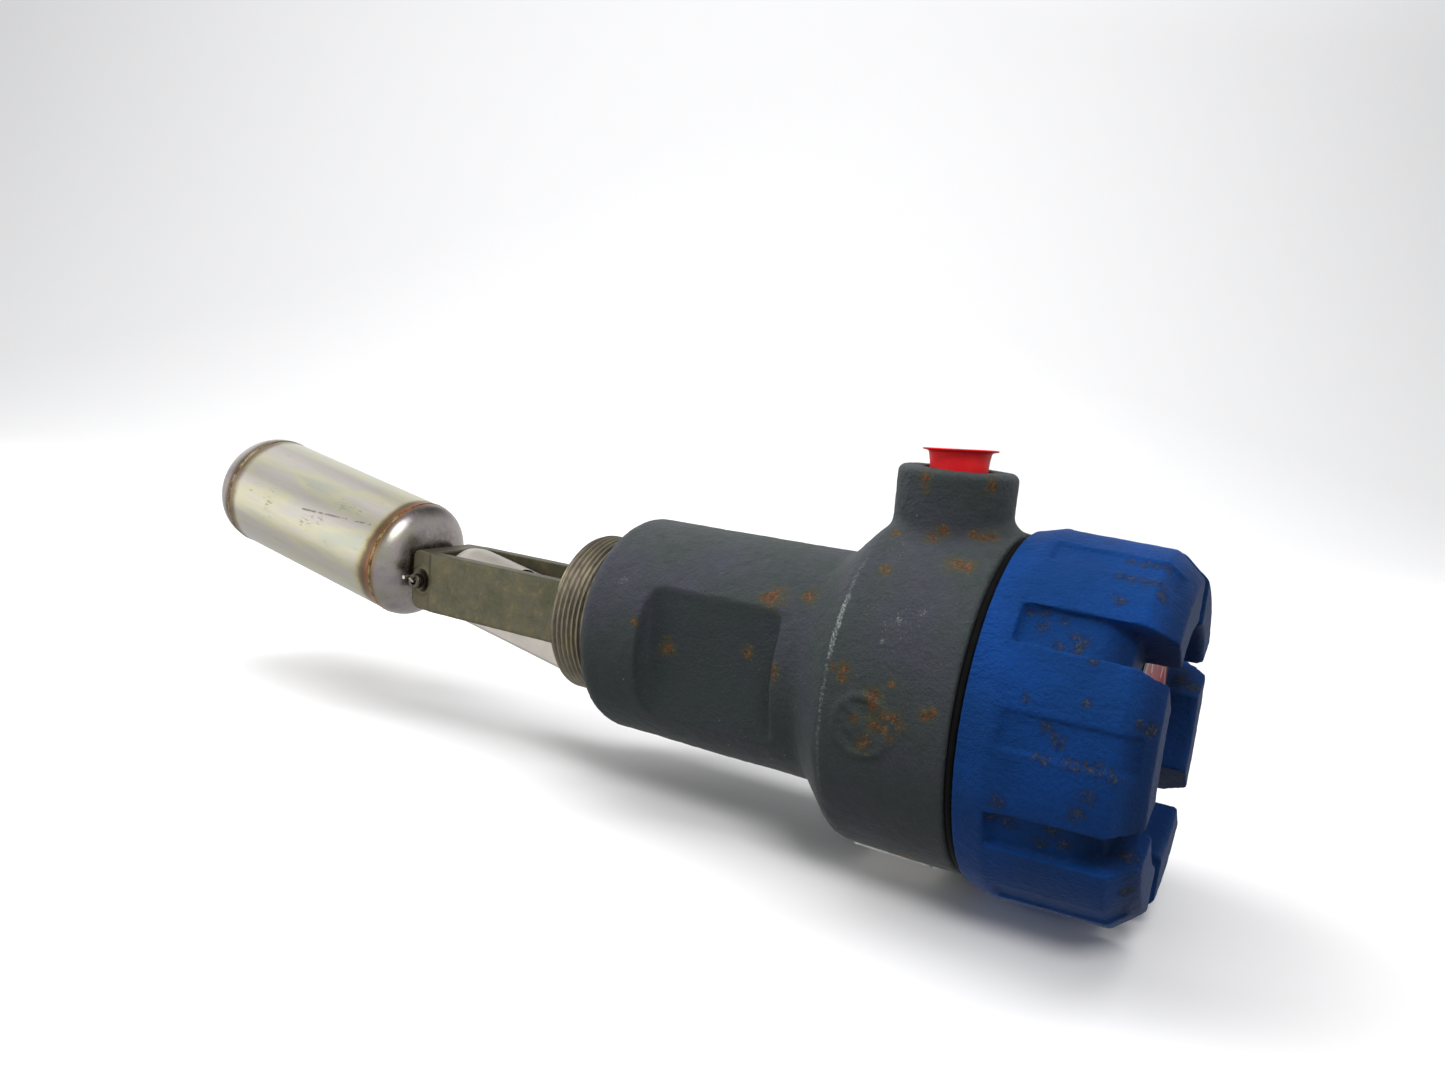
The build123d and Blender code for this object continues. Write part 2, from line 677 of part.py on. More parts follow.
# slots between the lugs, and a shallow channel along each lug; (x, radius)
SLOT_PATH = [
    (152.6, 62.0), (153.4, 55.3), (154.6, 54.95), (172.0, 54.0), (175.5, 53.4),
    (179.0, 51.4), (182.6, 47.6), (COVER_FACE, 30.0), (200.0, 30.0), (200.0, 62.0),
]
CHANNEL_PATH = [
    (153.2, 62.0), (154.6, 56.35), (155.8, 56.15), (184.0, 54.95), (184.9, 54.3),
    (189.0, 50.7), (194.5, 46.0), (200.0, 62.0),
]
slot_tool = slab(SLOT_PATH, SLOT_W)
channel_tool = slab(CHANNEL_PATH, CHANNEL_W) & block(150, 189.6, -20, 20, 30, 70)
for i in range(LUGS):
    # lug angles run from -Y toward +Z; the tools are built at +Z
    angle = LUG_ANGLE + i * 360 / LUGS
    cover -= Rot(90 - (angle + 180 / LUGS), 0, 0) * slot_tool
    cover -= Rot(90 - angle, 0, 0) * channel_tool
grip_edges = [
    e
    for e in cover.edges()
    if e.center().X > 150
    and math.hypot(e.center().Y, e.center().Z) > 34.5
    and e.length > 1.0
]
rounded_cover = round_edges(cover, grip_edges, 0.9)
# where the whole grip can't be rounded, only its end is
if rounded_cover is cover:
    end_edges = [e for e in grip_edges if e.center().X > 183]
    rounded_cover = round_edges(cover, end_edges, 0.8)
write("cover", rounded_cover)

o_ring = turned_x(
    [
        (140.72, 49.6),
        (140.72, 52.6),
        ("arc", (142.1, 53.55), (143.48, 52.6)),
        (143.48, 49.6),
    ]
)
write("cover_o_ring", o_ring)
write("end_label", rod_x(COVER_FACE + 0.02, COVER_FACE + 0.32, 33.0))

# --------------------------------------------------------------- conduit plug
# a flanged cup, open at the top: (radius, height over the boss top)
PLUG_PROFILE = (
    (0, -7.6), (9.2, -7.6), (9.6, -7.2), (10.3, 5.6), (12.6, 5.9), (12.8, 6.3),
    (12.7, 7.0), (11.9, 7.2), (9.4, 6.5), (8.8, 5.6), (8.2, -5.6), (0, -5.6),
)
plug_face = outline([(r, BOSS_TOP + height) for r, height in PLUG_PROFILE])
write("conduit_plug", Pos(BOSS_X, 0, 0) * revolve(plug_face, Axis.Z))

# ------------------------------------------------------------------ nameplate
# a curved plate under the drum, cut from a tube by a wedge
NAMEPLATE_X0, NAMEPLATE_X1 = 104.6, 131.2
HALF_ANGLE = 24.0
WEDGE_R = 70
WEDGE_STEPS = 8
corners = [Vector(0, 0, 0)]
for i in range(WEDGE_STEPS + 1):
    angle = math.radians(-90 - HALF_ANGLE + 2 * HALF_ANGLE * i / WEDGE_STEPS)
    corners.append(Vector(0, WEDGE_R * math.cos(angle), WEDGE_R * math.sin(angle)))
wedge = extrude(
    Face(Wire.make_polygon(corners, close=True)),
    amount=NAMEPLATE_X1 - NAMEPLATE_X0,
    dir=(1, 0, 0),
)
nameplate = tube_x(NAMEPLATE_X0, NAMEPLATE_X1, DRUM_R + 0.62, DRUM_R + 0.03)
nameplate &= Pos(NAMEPLATE_X0, 0, 0) * wedge
nameplate = round_edges(nameplate, [e for e in nameplate.edges() if e.length < 1.0], 2.0)
nails = []
for x in NAIL_X:
    nameplate -= rod_z(-60, -50, 1.0, x)
    shank = rod_z(-DRUM_R - 0.7, -DRUM_R + 3.5, 0.9)
    head = rod_z(-DRUM_R - 1.45, -DRUM_R - 0.66, 1.9)
    head = round_edges(head, head.edges().group_by(Axis.Z)[0], 0.6)
    nails.append(Pos(x, 0, 0) * (shank + head))
write("nameplate", nameplate)
write("nameplate_drive_screws", *nails)
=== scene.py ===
# A float-operated switch: a slate cast housing with a blue cover, a threaded process body and
# a stainless float on a yoke. Its axis is X: the cover closes the +X end, and the thread and
# float are at -X, the float rising outward from the pivot. The conduit boss points up, along
# +Z. Blender works in metres; sizes here are millimetres unless noted otherwise.
import math
from functools import cached_property

import bmesh
import bpy
import numpy as np
from mathutils import Matrix, Vector, noise


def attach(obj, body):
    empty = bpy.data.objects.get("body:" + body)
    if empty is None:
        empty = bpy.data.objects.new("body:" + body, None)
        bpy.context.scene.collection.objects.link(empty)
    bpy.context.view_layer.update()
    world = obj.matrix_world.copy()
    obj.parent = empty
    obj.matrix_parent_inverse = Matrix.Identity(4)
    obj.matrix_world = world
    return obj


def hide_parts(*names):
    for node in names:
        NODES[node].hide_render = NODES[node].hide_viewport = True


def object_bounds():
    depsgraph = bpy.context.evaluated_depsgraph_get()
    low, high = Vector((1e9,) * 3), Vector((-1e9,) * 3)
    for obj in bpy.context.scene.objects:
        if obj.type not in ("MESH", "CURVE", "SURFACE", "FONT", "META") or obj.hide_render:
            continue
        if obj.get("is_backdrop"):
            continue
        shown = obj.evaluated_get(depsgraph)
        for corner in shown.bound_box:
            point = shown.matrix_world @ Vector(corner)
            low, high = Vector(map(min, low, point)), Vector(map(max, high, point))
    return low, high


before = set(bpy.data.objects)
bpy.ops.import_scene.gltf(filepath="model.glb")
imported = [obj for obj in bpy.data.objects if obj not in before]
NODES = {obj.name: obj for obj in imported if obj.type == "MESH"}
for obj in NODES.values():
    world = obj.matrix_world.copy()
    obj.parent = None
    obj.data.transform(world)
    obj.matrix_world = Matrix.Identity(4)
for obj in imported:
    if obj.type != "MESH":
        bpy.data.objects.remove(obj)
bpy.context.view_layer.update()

SCENE = bpy.context.scene
MM = 0.001

# ------------------------------------------------------------------ shared places
PIVOT = Vector((-99.3, 0.0, 0.0))
TILT = math.radians(10.3)
FLOAT_OUT = Vector((-math.cos(TILT), 0.0, math.sin(TILT)))  # outward along the float's axis
FLOAT_UP = Vector((math.sin(TILT), 0.0, math.cos(TILT)))
FLOAT_LIFT = 0.83  # the float's axis above the pivot, along FLOAT_UP
SEAM_IN, SEAM_OUT = 20.6, 116.0  # the two welds, outward from the pivot
BOSS_X, BOSS_TOP = 117.2, 71.4
VIEW_AZIMUTH = math.radians(30.1435)


def srgb(*rgb):
    """An sRGB triple in 0..255 as linear colour with alpha."""
    scaled = (v / 255.0 for v in rgb)
    linear = (v / 12.92 if v <= 0.04045 else ((v + 0.055) / 1.055) ** 2.4 for v in scaled)
    return (*linear, 1.0)


# ------------------------------------------------------------------- node builders
class Tree:
    """Short calls that add shader nodes; each returns an output socket."""

    def __init__(self, tree):
        self.tree = tree

    def node(self, kind, **props):
        node = self.tree.nodes.new(kind)
        for key, value in props.items():
            setattr(node, key, value)
        return node

    def link(self, source, target):
        """Links a socket, or sets a plain value."""
        if isinstance(source, bpy.types.NodeSocket):
            self.tree.links.new(source, target)
        else:
            target.default_value = source

    def vector(self, op, a, b=(0, 0, 0)):
        node = self.node("ShaderNodeVectorMath", operation=op)
        self.link(a, node.inputs[0])
        self.link(b, node.inputs[1])
        scalar = op in ("LENGTH", "DISTANCE", "DOT_PRODUCT")
        return node.outputs["Value"] if scalar else node.outputs[0]

    def math(self, op, a, b=0, c=0, clamp=False):
        node = self.node("ShaderNodeMath", operation=op, use_clamp=clamp)
        for value, socket in zip((a, b, c), node.inputs):
            self.link(value, socket)
        return node.outputs[0]

    def times(self, product, *factors):
        for factor in factors:
            product = self.math("MULTIPLY", product, factor)
        return product

    def plus(self, a, b, clamp=False):
        return self.math("ADD", a, b, clamp=clamp)

    def most(self, a, b, clamp=False):
        return self.math("MAXIMUM", a, b, clamp=clamp)

    def scaled(self, value, by, plus):
        return self.math("MULTIPLY_ADD", value, by, plus)

    def split(self, vector):
        node = self.node("ShaderNodeSeparateXYZ")
        self.link(vector, node.inputs[0])
        return tuple(node.outputs)

    def fade(self, value, zero, one):
        """A smooth step, 0 where value is `zero` and 1 where it is `one`."""
        node = self.node("ShaderNodeMapRange", interpolation_type="SMOOTHSTEP")
        self.link(value, node.inputs["Value"])
        node.inputs["From Min"].default_value = zero
        node.inputs["From Max"].default_value = one
        return node.outputs[0]

    def ramp(self, value, stops):
        """A colour ramp; each stop is a position and a linear colour."""
        node = self.node("ShaderNodeValToRGB")
        elements = node.color_ramp.elements
        while len(elements) < len(stops):
            elements.new(0.5)
        for element, (position, colour) in zip(elements, stops):
            element.position = position
            element.color = colour
        self.link(value, node.inputs[0])
        return node.outputs[0]

    def mix(self, mask, a, b, mode="MIX"):
        node = self.node("ShaderNodeMix", data_type="RGBA", blend_type=mode)
        self.link(mask, node.inputs[0])
        self.link(a, node.inputs[6])
        self.link(b, node.inputs[7])
        return node.outputs[2]


class Graph(Tree):
    """A material whose patterns are laid out in millimetres of the object frame."""

    def __init__(self, name):
        self.material = bpy.data.materials.new(name)
        self.material.use_nodes = True
        super().__init__(self.material.node_tree)
        self.tree.nodes.clear()
        output = self.node("ShaderNodeOutputMaterial")
        self.bsdf = self.node("ShaderNodeBsdfPrincipled")
        self.link(self.bsdf.outputs[0], output.inputs[0])
        metres = self.node("ShaderNodeTexCoord").outputs["Object"]
        self.place = self.vector("MULTIPLY", metres, (1000, 1000, 1000))

    @cached_property
    def xyz(self):
        return self.split(self.place)

    def combine(self, *parts):
        node = self.node("ShaderNodeCombineXYZ")
        for part, socket in zip(parts, node.inputs):
            self.link(part, socket)
        return node.outputs[0]

    def radius(self, a, b):
        return self.vector("LENGTH", self.combine(0, a, b))

    def pointiness(self):
        return self.node("ShaderNodeNewGeometry").outputs["Pointiness"]

    def noise(self, size, detail=4, rough=0.6, at=None, distortion=0):
        """Noise whose largest features are about size mm across."""
        node = self.node("ShaderNodeTexNoise")
        self.link(self.place if at is None else at, node.inputs["Vector"])
        node.inputs["Scale"].default_value = 1.0 / size
        node.inputs["Detail"].default_value = detail
        node.inputs["Roughness"].default_value = rough
        node.inputs["Distortion"].default_value = distortion
        return node.outputs["Fac"]

    def patches(self, zero, one, **noise_args):
        """Noise faded into a mask."""
        return self.fade(self.noise(**noise_args), zero, one)

    def cells(self, size):
        """Distance to the nearest of scattered points about size mm apart."""
        node = self.node("ShaderNodeTexVoronoi")
        self.link(self.place, node.inputs["Vector"])
        node.inputs["Scale"].default_value = 1.0 / size
        return node.outputs["Distance"]

    def tones(self, value, *stops):
        """A colour ramp; each stop is a position and an sRGB triple."""
        return self.ramp(value, [(position, srgb(*rgb)) for position, *rgb in stops])

    def over(self, base, rgb, mask, amount=None):
        """Lays an sRGB colour over base where the mask is, at most by amount."""
        if amount is not None:
            mask = self.times(mask, amount)
        return self.mix(mask, base, srgb(*rgb))

    def vary(self, colour, pattern, amount):
        """Multiplies a colour by 1 +- amount as the pattern goes 0 to 1."""
        v = self.scaled(pattern, by=2.0 * amount, plus=1.0 - amount)
        return self.mix(1.0, colour, self.combine(v, v, v), "MULTIPLY")

    def bump(self, height, mm, strength, after=None):
        node = self.node("ShaderNodeBump")
        node.inputs["Strength"].default_value = strength
        node.inputs["Distance"].default_value = mm * MM
        self.link(height, node.inputs["Height"])
        if after is not None:
            self.link(after, node.inputs["Normal"])
        return node.outputs[0]

    def spots(self, places, wobble, grow=1):
        """The union of soft ragged spots (x, y, z, radius): 1 at a centre, 0 at its radius."""
        ragged = self.scaled(self.noise(size=2.6, rough=0.62), 1.9 * wobble, -0.95 * wobble)
        total = None
        for *centre, radius in places:
            radius *= grow
            distance = self.vector("DISTANCE", self.place, centre)
            distance = self.scaled(ragged, by=radius * 0.9, plus=distance)
            spot = self.fade(distance, zero=radius, one=radius * 0.12)
            total = spot if total is None else self.most(total, spot)
        return total

    def finish(self, **values):
        inputs = {"color": "Base Color", "metal": "Metallic", "rough": "Roughness",
                  "normal": "Normal", "spec": "Specular IOR Level", "sss": "Subsurface Weight"}
        for key, value in values.items():
            self.link(value, self.bsdf.inputs[inputs[key]])
        return self.material


# -------------------------------------------------------------------- painted iron
# spot tables: x, y, z, radius
PEPPER_SPOTS = [(111, -25, 48, 13), (118, -44, 30, 16)]
PALE_SPOTS = [
    (119.9, -45.6, 29, 1.5), (126, -42.9, 32.8, 1.8), (116.8, -48.8, 23.1, 1.2),
    (15, -33.2, 21.4, 2.2), (108.6, -34.7, 41.6, 1.5), (111, -46, 24, 1.6),
]
RUST_SPOTS = [
    (71.7, -30.3, 25.3, 4.6), (69.6, -30.6, 24.9, 3.4), (83.3, -28.2, 27.6, 3),
    (109.6, -34.7, 41.4, 2.6), (129.3, -29, 45.6, 3.6), (132.2, -29.3, 45.4, 3.4),
    (34.7, -32.5, 2, 3.4), (65.6, -32.5, 6.2, 2.7), (107.4, -52.3, 13.7, 2.6),
    (107.6, -52.6, 11.6, 2), (104.9, -52.3, 13.4, 1.8), (118, -53.9, 8.6, 2.9),
    (118.8, -53.9, 5.6, 2.6), (121.8, -53.8, 3.6, 2.7), (119.8, -54.1, 0.4, 2.9),
    (122.6, -53.8, 0.2, 2.3), (124.2, -53.6, -2, 2.1), (125.6, -53.6, 3.4, 2.4),
    (127, -53.6, 1.4, 1.9), (116.4, -54.1, -6.4, 2.5), (117.8, -54.1, -4.2, 2),
    (113.6, -54.2, 1, 2), (133.6, -53.6, 6.4, 2.5), (135.6, -53.5, 7.8, 2),
    (122.4, -52.4, 12.6, 1.5), (120.7, -18.6, 53.3, 2.6), (118.3, -20.2, 50.6, 2.8),
    (134.3, -12.7, 52.9, 3), (129.5, -15.4, 53.2, 2.2), (132.6, -14, 51.6, 3),
    (106.2, -19.5, 50.4, 2), (113, -18.3, 68.5, 2.6), (113.6, -18.8, 65.6, 2),
    (132, -11.6, 68, 2.8), (24.3, -38.3, 9.6, 2.2), (78.2, -39.2, 3.9, 3.2),
    (104, 41, 34, 4), (122, 50, 20, 4.4), (60, 36, 16, 3.8), (30, 32.5, -8, 4.2),
    (132, 36, -40, 4), (92, 20, 40, 4), (80, -22, -34, 3.2), (126, -30, -45, 3),
    (46, 4, 39.4, 2.6),
]


def rust_colour(g, heart):
    """Speckled rust: olive at the edge of each spot, red-brown toward its heart."""
    speckle = g.noise(size=1.1, detail=5, rough=0.70)
    dry = g.tones(speckle, (0.32, 46, 42, 32), (0.44, 74, 66, 44), (0.54, 98, 84, 52),
                  (0.64, 128, 112, 70), (0.74, 150, 134, 100))
    red = g.tones(speckle, (0.32, 48, 36, 28), (0.44, 80, 54, 38), (0.55, 108, 70, 46),
                  (0.66, 128, 92, 66), (0.76, 154, 120, 98))
    redness = g.scaled(g.noise(size=3.4), by=1.1, plus=g.scaled(heart, by=0.62, plus=-0.55))
    return g.mix(g.fade(redness, zero=0.26, one=0.52), dry, red)


def shoulder_chips(g, x, y, z):
    """A chipped streak on the shoulder edge, thick and broken above the -Y side, thin below."""
    radius = g.radius(y, z)
    angle = g.math("DEGREES", g.math("ARCTAN2", z, g.times(y, -1)))  # up from -Y
    wander = g.scaled(g.noise(size=3, rough=0.65), by=2.2, plus=-1.1)
    off = g.math("ABSOLUTE", g.math("SUBTRACT", g.plus(x, wander), 102.35))
    span = g.times(g.fade(angle, zero=15, one=21), g.fade(angle, zero=39.5, one=36.5))
    thick = g.times(g.fade(off, zero=1.15, one=0.35), span)
    span = g.times(g.fade(angle, zero=-40, one=6), g.fade(angle, zero=60, one=36), 0.42)
    thin = g.times(g.fade(off, zero=0.8, one=0.2), span)
    chip = g.most(
        g.times(thick, g.patches(size=0.70, detail=5, rough=0.78, zero=0.47, one=0.57)),
        g.times(thin, g.patches(size=0.9, detail=5, rough=0.75, zero=0.44, one=0.60)))
    return g.times(chip, g.fade(radius, zero=48.6, one=50.2))


def housing_paint():
    g = Graph("slate_paint_on_cast_iron")
    x, y, z = g.xyz
    big = g.noise(size=26, detail=3, rough=0.5)
    fine = g.noise(size=0.9, rough=0.65)
    base = g.tones(big, (0.36, 59, 65, 65), (0.50, 62, 67, 70), (0.64, 65, 66, 75))
    base = g.vary(base, g.noise(size=5.5), amount=0.16)
    base = g.vary(base, fine, amount=0.20)
    # thin film of dust on what faces up
    _, _, up = g.split(g.node("ShaderNodeNewGeometry").outputs["Normal"])
    dust = g.times(g.fade(up, zero=0.2, one=0.95),
                   g.patches(size=3.2, detail=5, rough=0.7, zero=0.40, one=0.72))
    base = g.over(base, (88, 86, 94), dust, amount=0.22)
    # a green cast low down
    low = g.fade(g.scaled(big, by=30, plus=z), zero=26, one=-4)
    base = g.over(base, (52, 60, 57), low, amount=0.22)
    # painted shade: the wrench flats are painted duller and darker than the round they are cut
    # in, as shade in their recesses
    depth = g.math("ABSOLUTE", y)
    flat = g.times(g.fade(depth, zero=34.2, one=33.2), g.fade(depth, zero=30, one=31.6),
                   g.times(g.fade(x, zero=22, one=27), g.fade(x, zero=81.5, one=79)),
                   g.fade(g.math("ABSOLUTE", z), zero=23, one=20))
    # painted shade laid over the flats
    base = g.over(base, (52, 59, 60), flat, amount=0.75)
    # pepper of tiny pale grains, thickest high on the drum's -Y side
    pepper = g.times(g.patches(size=0.62, detail=3, rough=0.62, zero=0.62, one=0.70),
                     g.patches(size=9, detail=3, rough=0.55, zero=0.40, one=0.60),
                     g.scaled(g.spots(PEPPER_SPOTS, wobble=0.5), by=0.50, plus=0.14))
    base = g.over(base, (158, 156, 142), pepper)
    # paint worn pale and thin along the convex edges
    worn = g.times(g.fade(g.pointiness(), zero=0.515, one=0.585),
                   g.patches(size=1.8, detail=5, rough=0.72, zero=0.40, one=0.66))
    base = g.over(base, (112, 112, 102), worn, amount=0.36)
    # bare pale chips and specks
    specks = g.times(g.fade(g.cells(size=6.4), zero=0.075, one=0.035),
                     g.patches(size=17, detail=2, rough=0.5, zero=0.54, one=0.66))
    groups = g.times(g.spots(PALE_SPOTS, wobble=1.2),
                     g.patches(size=0.6, rough=0.7, zero=0.50, one=0.62))
    pale = g.most(g.times(specks, 0.45), g.times(groups, 0.60))
    pale = g.most(shoulder_chips(g, x, y, z), pale, clamp=True)
    base = g.over(base, (168, 178, 172), pale, amount=0.86)
    # rust: placed spots, a faint drift elsewhere, and dots and a dark halo around the spots
    drift = g.times(g.patches(size=9, detail=6, rough=0.72, zero=0.655, one=0.76), 0.40)
    rust = g.most(g.spots(RUST_SPOTS, wobble=1), drift, clamp=True)
    wide = g.spots(RUST_SPOTS, wobble=0.8, grow=1.7)
    grain = g.noise(size=0.85, detail=5, rough=0.78)
    cover = g.math("SUBTRACT", g.times(rust, 0.80), 1.24)
    mask = g.fade(g.scaled(grain, by=1.9, plus=cover), zero=-0.06, one=0.36)
    dots = g.times(g.fade(g.scaled(wide, by=0.12, plus=grain), zero=0.60, one=0.67),
                   g.fade(wide, zero=0, one=0.35))
    mask = g.most(mask, g.times(dots, 0.8), clamp=True)
    halo = g.times(g.fade(wide, zero=0.10, one=0.80), 0.50)
    base = g.over(base, (72, 70, 50), halo)
    base = g.mix(g.times(mask, 0.78), base, rust_colour(g, rust))
    grainy = g.bump(g.noise(size=1.25, detail=5, rough=0.68), mm=0.95, strength=0.85)
    grainy = g.bump(g.noise(size=0.42, detail=3), mm=0.16, strength=0.6, after=grainy)
    return g.finish(color=base, rough=g.scaled(fine, by=0.20, plus=0.46), normal=grainy,
                    spec=0.14)


DIRT_SPOTS = [
    (160.3, -54.1, 17.8, 1.8), (166.4, -54.6, 11.6, 2), (170.3, -54.9, 8, 2.4),
    (168.4, -54.8, 9.6, 1.6), (165, -56.4, 4, 1.5), (167.3, -56.4, 3.2, 1.9),
    (173.4, -55.9, 3.3, 2.2), (175.2, -55.6, 3.8, 2.4), (176.7, -55.4, 4.2, 2),
    (180.7, -55.2, 3.5, 2.6), (184, -55.4, 2.9, 2.2), (178.6, -55.4, 3.8, 2),
    (156.9, -56, -11.1, 2.6), (176.7, -55.5, -8.7, 2.6), (179.1, -56, -4, 2.6),
    (190.4, -48.4, 15.3, 2.2), (187.9, -50.5, 15.9, 1.9), (159.6, -52, -17.2, 2.6),
    (170.9, -51.6, -16.4, 2.8), (168.1, -50, -21, 2.6), (174, -49.8, -20.1, 2.8),
    (188.6, -40.1, -22.1, 3), (189.6, -41, -31.2, 2.6), (155, -52.4, -16.8, 2.4),
    (175.2, -17.4, 52.6, 2), (178.7, -17.5, 52.4, 2), (181.4, -17.2, 52.4, 1.6),
    (184.1, -16.8, 52.3, 2.2), (174.6, -26.7, 49.6, 1.7), (177.6, -26.8, 49.4, 1.8),
    (180.7, -26.8, 49.2, 2), (183, -26.5, 48.9, 1.7), (185.4, -26.1, 48.6, 1.7),
    (185.9, -29.3, 46.3, 2.3), (185.6, -27.6, 47.4, 1.7), (176.2, -34.8, 44.1, 2.2),
    (170.2, -42.8, 33.1, 1.9), (169.4, -44.5, 31.1, 2.1), (174.4, -47.9, 29.7, 1.7),
    (158.6, -39.5, 38.3, 1.9), (186.4, 41.2, 9.6, 2.6), (175.2, -52.9, 19.3, 1.7),
    (164.2, -39.9, 37.2, 1.9), (190.8, 38.6, 8.6, 2.6), (154.9, -40.3, 37.5, 1.5),
    (159.2, -42.1, 35, 2), (167.7, -42.4, 33.8, 1.5), (164.7, -45, 30.8, 1.7),
    (187, 8, 44, 3), (186, 30, 34, 3.5), (188, 40, 4, 3.5), (170, 48, 18, 3.2),
    (180, 20, -46, 3.6), (168, -6, 54, 3), (170, 30, 45, 3),
]


def cover_paint():
    g = Graph("blue_paint_on_cast_iron")
    x, y, z = g.xyz
    fine = g.noise(size=0.8, rough=0.65)
    base = g.tones(g.noise(size=30, detail=3, rough=0.5),
                   (0.36, 17, 56, 111), (0.52, 18, 60, 120), (0.66, 19, 64, 132))
    base = g.vary(base, g.noise(size=6.5), amount=0.12)
    base = g.vary(base, fine, amount=0.16)
    # painted shade: what lies below the lug tops, the slot floors and the end chamfers, is
    # painted a darker blue
    slot_shade = g.times(g.fade(g.radius(y, z), zero=55.3, one=50.5), g.fade(x, zero=150, one=160))
    # painted shade in the slots and on the chamfers
    base = g.over(base, (16, 34, 64), slot_shade, amount=0.66)
    worn = g.times(g.fade(g.pointiness(), zero=0.52, one=0.60),
                   g.patches(size=3, rough=0.7, zero=0.44, one=0.64))
    base = g.over(base, (44, 92, 160), worn, amount=0.36)
    # dirt and rust dust held in corners, along the channels' edges and in broken specks
    crease_dirt_and_shade = g.fade(g.pointiness(), zero=0.492, one=0.44)
    patch = g.patches(size=15, detail=3, rough=0.55, zero=0.50, one=0.68)
    grit = g.times(g.patches(size=1.7, detail=6, rough=0.78, zero=0.60, one=0.68),
                   g.scaled(patch, by=0.75, plus=0.02))
    near = g.spots(DIRT_SPOTS, wobble=0.7, grow=1.55)
    local = g.scaled(near, by=0.13, plus=g.noise(size=0.62, detail=5, rough=0.80))
    local = g.times(g.fade(local, zero=0.585, one=0.665), g.fade(near, zero=0, one=0.30))
    corners = g.patches(size=1.2, detail=5, rough=0.75, zero=0.46, one=0.64)
    dirt = g.most(g.most(grit, local), g.times(crease_dirt_and_shade, corners, 0.7), clamp=True)
    tone = g.tones(g.noise(size=1.6, rough=0.65), (0.34, 38, 46, 50), (0.50, 70, 70, 48),
                   (0.60, 96, 86, 48), (0.70, 116, 108, 66))
    base = g.mix(g.times(dirt, 0.72), base, tone)
    # painted shade: concave creases are also painted a darker blue
    base = g.over(base, (14, 44, 92), crease_dirt_and_shade, amount=0.25)
    # crinkled film: short ripples lying along the cover, stronger toward its open edge
    around = g.times(g.math("ARCTAN2", z, y), 54)
    flow = g.combine(g.times(x, 0.30), around, g.radius(y, z))
    ripples = g.noise(size=1.5, rough=0.62, at=flow, distortion=0.8)
    zone = g.times(g.fade(x, zero=176, one=150),
                   g.patches(size=18, detail=2, rough=0.5, zero=0.36, one=0.60))
    height = g.plus(g.noise(size=1.3, detail=5, rough=0.66), g.times(ripples, zone, 1.5))
    height = g.plus(height, g.times(dirt, 0.25))
    film = g.bump(height, mm=0.95, strength=0.85)
    film = g.bump(g.noise(size=0.45, detail=3), mm=0.16, strength=0.6, after=film)
    rough = g.plus(g.scaled(fine, by=0.20, plus=0.46), g.times(dirt, 0.3), clamp=True)
    return g.finish(color=base, rough=rough, normal=film, spec=0.09)


# -------------------------------------------------------------- the float's metals
def float_axes(g):
    """Distances outward along the float's axis from the pivot, and across it along Y and up."""
    from_pivot = g.vector("SUBTRACT", g.place, PIVOT)
    out = g.vector("DOT_PRODUCT", from_pivot, FLOAT_OUT)
    up = g.math("SUBTRACT", g.vector("DOT_PRODUCT", from_pivot, FLOAT_UP), FLOAT_LIFT)
    return out, g.xyz[1], up


def near_line(g, start, end, radius):
    """1 on the line from start to end, 0 at radius from it."""
    start = Vector(start)
    span = Vector(end) - start
    along = g.vector("DOT_PRODUCT", g.vector("SUBTRACT", g.place, start), span)
    t = g.math("DIVIDE", along, span.length_squared, clamp=True)
    foot = g.vector("ADD", g.vector("MULTIPLY", g.combine(t, t, t), span), start)
    wobble = g.scaled(g.noise(size=2.6, detail=3), by=1, plus=-0.5)
    distance = g.plus(g.vector("DISTANCE", g.place, foot), wobble)
    return g.fade(distance, zero=radius, one=radius * 0.3)


def heat_colours(g, base, out, up):
    """Heat colours beside the two welds; the inner band is broad below and thin on top."""
    turn = g.fade(up, zero=-8, one=20)
    wave = g.plus(g.scaled(g.noise(size=6, detail=3), by=3.4, plus=-1.7),
                  g.scaled(g.noise(size=1, detail=3), by=0.9, plus=-0.45))
    inner = g.times(g.math("SUBTRACT", out, SEAM_IN), g.scaled(turn, by=0.75, plus=1))
    inner = g.plus(inner, wave)
    tint = g.tones(g.math("DIVIDE", inner, 14, clamp=True),
                   (0, 126, 90, 50), (0.10, 134, 80, 44), (0.20, 108, 72, 44),
                   (0.32, 88, 72, 52), (0.44, 120, 102, 70), (0.62, 176, 166, 116),
                   (1, 184, 180, 160))
    mask = g.times(g.fade(inner, zero=12.5, one=5),
                   g.fade(out, zero=SEAM_IN - 3.4, one=SEAM_IN - 0.8))
    base = g.mix(g.times(mask, 0.92), base, tint)
    outer = g.plus(g.math("SUBTRACT", SEAM_OUT, out), wave)
    tint = g.tones(g.math("DIVIDE", outer, 9, clamp=True),
                   (0, 80, 64, 52), (0.22, 90, 66, 50), (0.42, 122, 106, 78),
                   (0.7, 174, 166, 130), (1, 182, 178, 160))
    mask = g.times(g.fade(outer, zero=6.4, one=2.6),
                   g.fade(out, zero=SEAM_OUT + 4, one=SEAM_OUT + 1))
    return g.mix(g.times(mask, 0.78), base, tint)


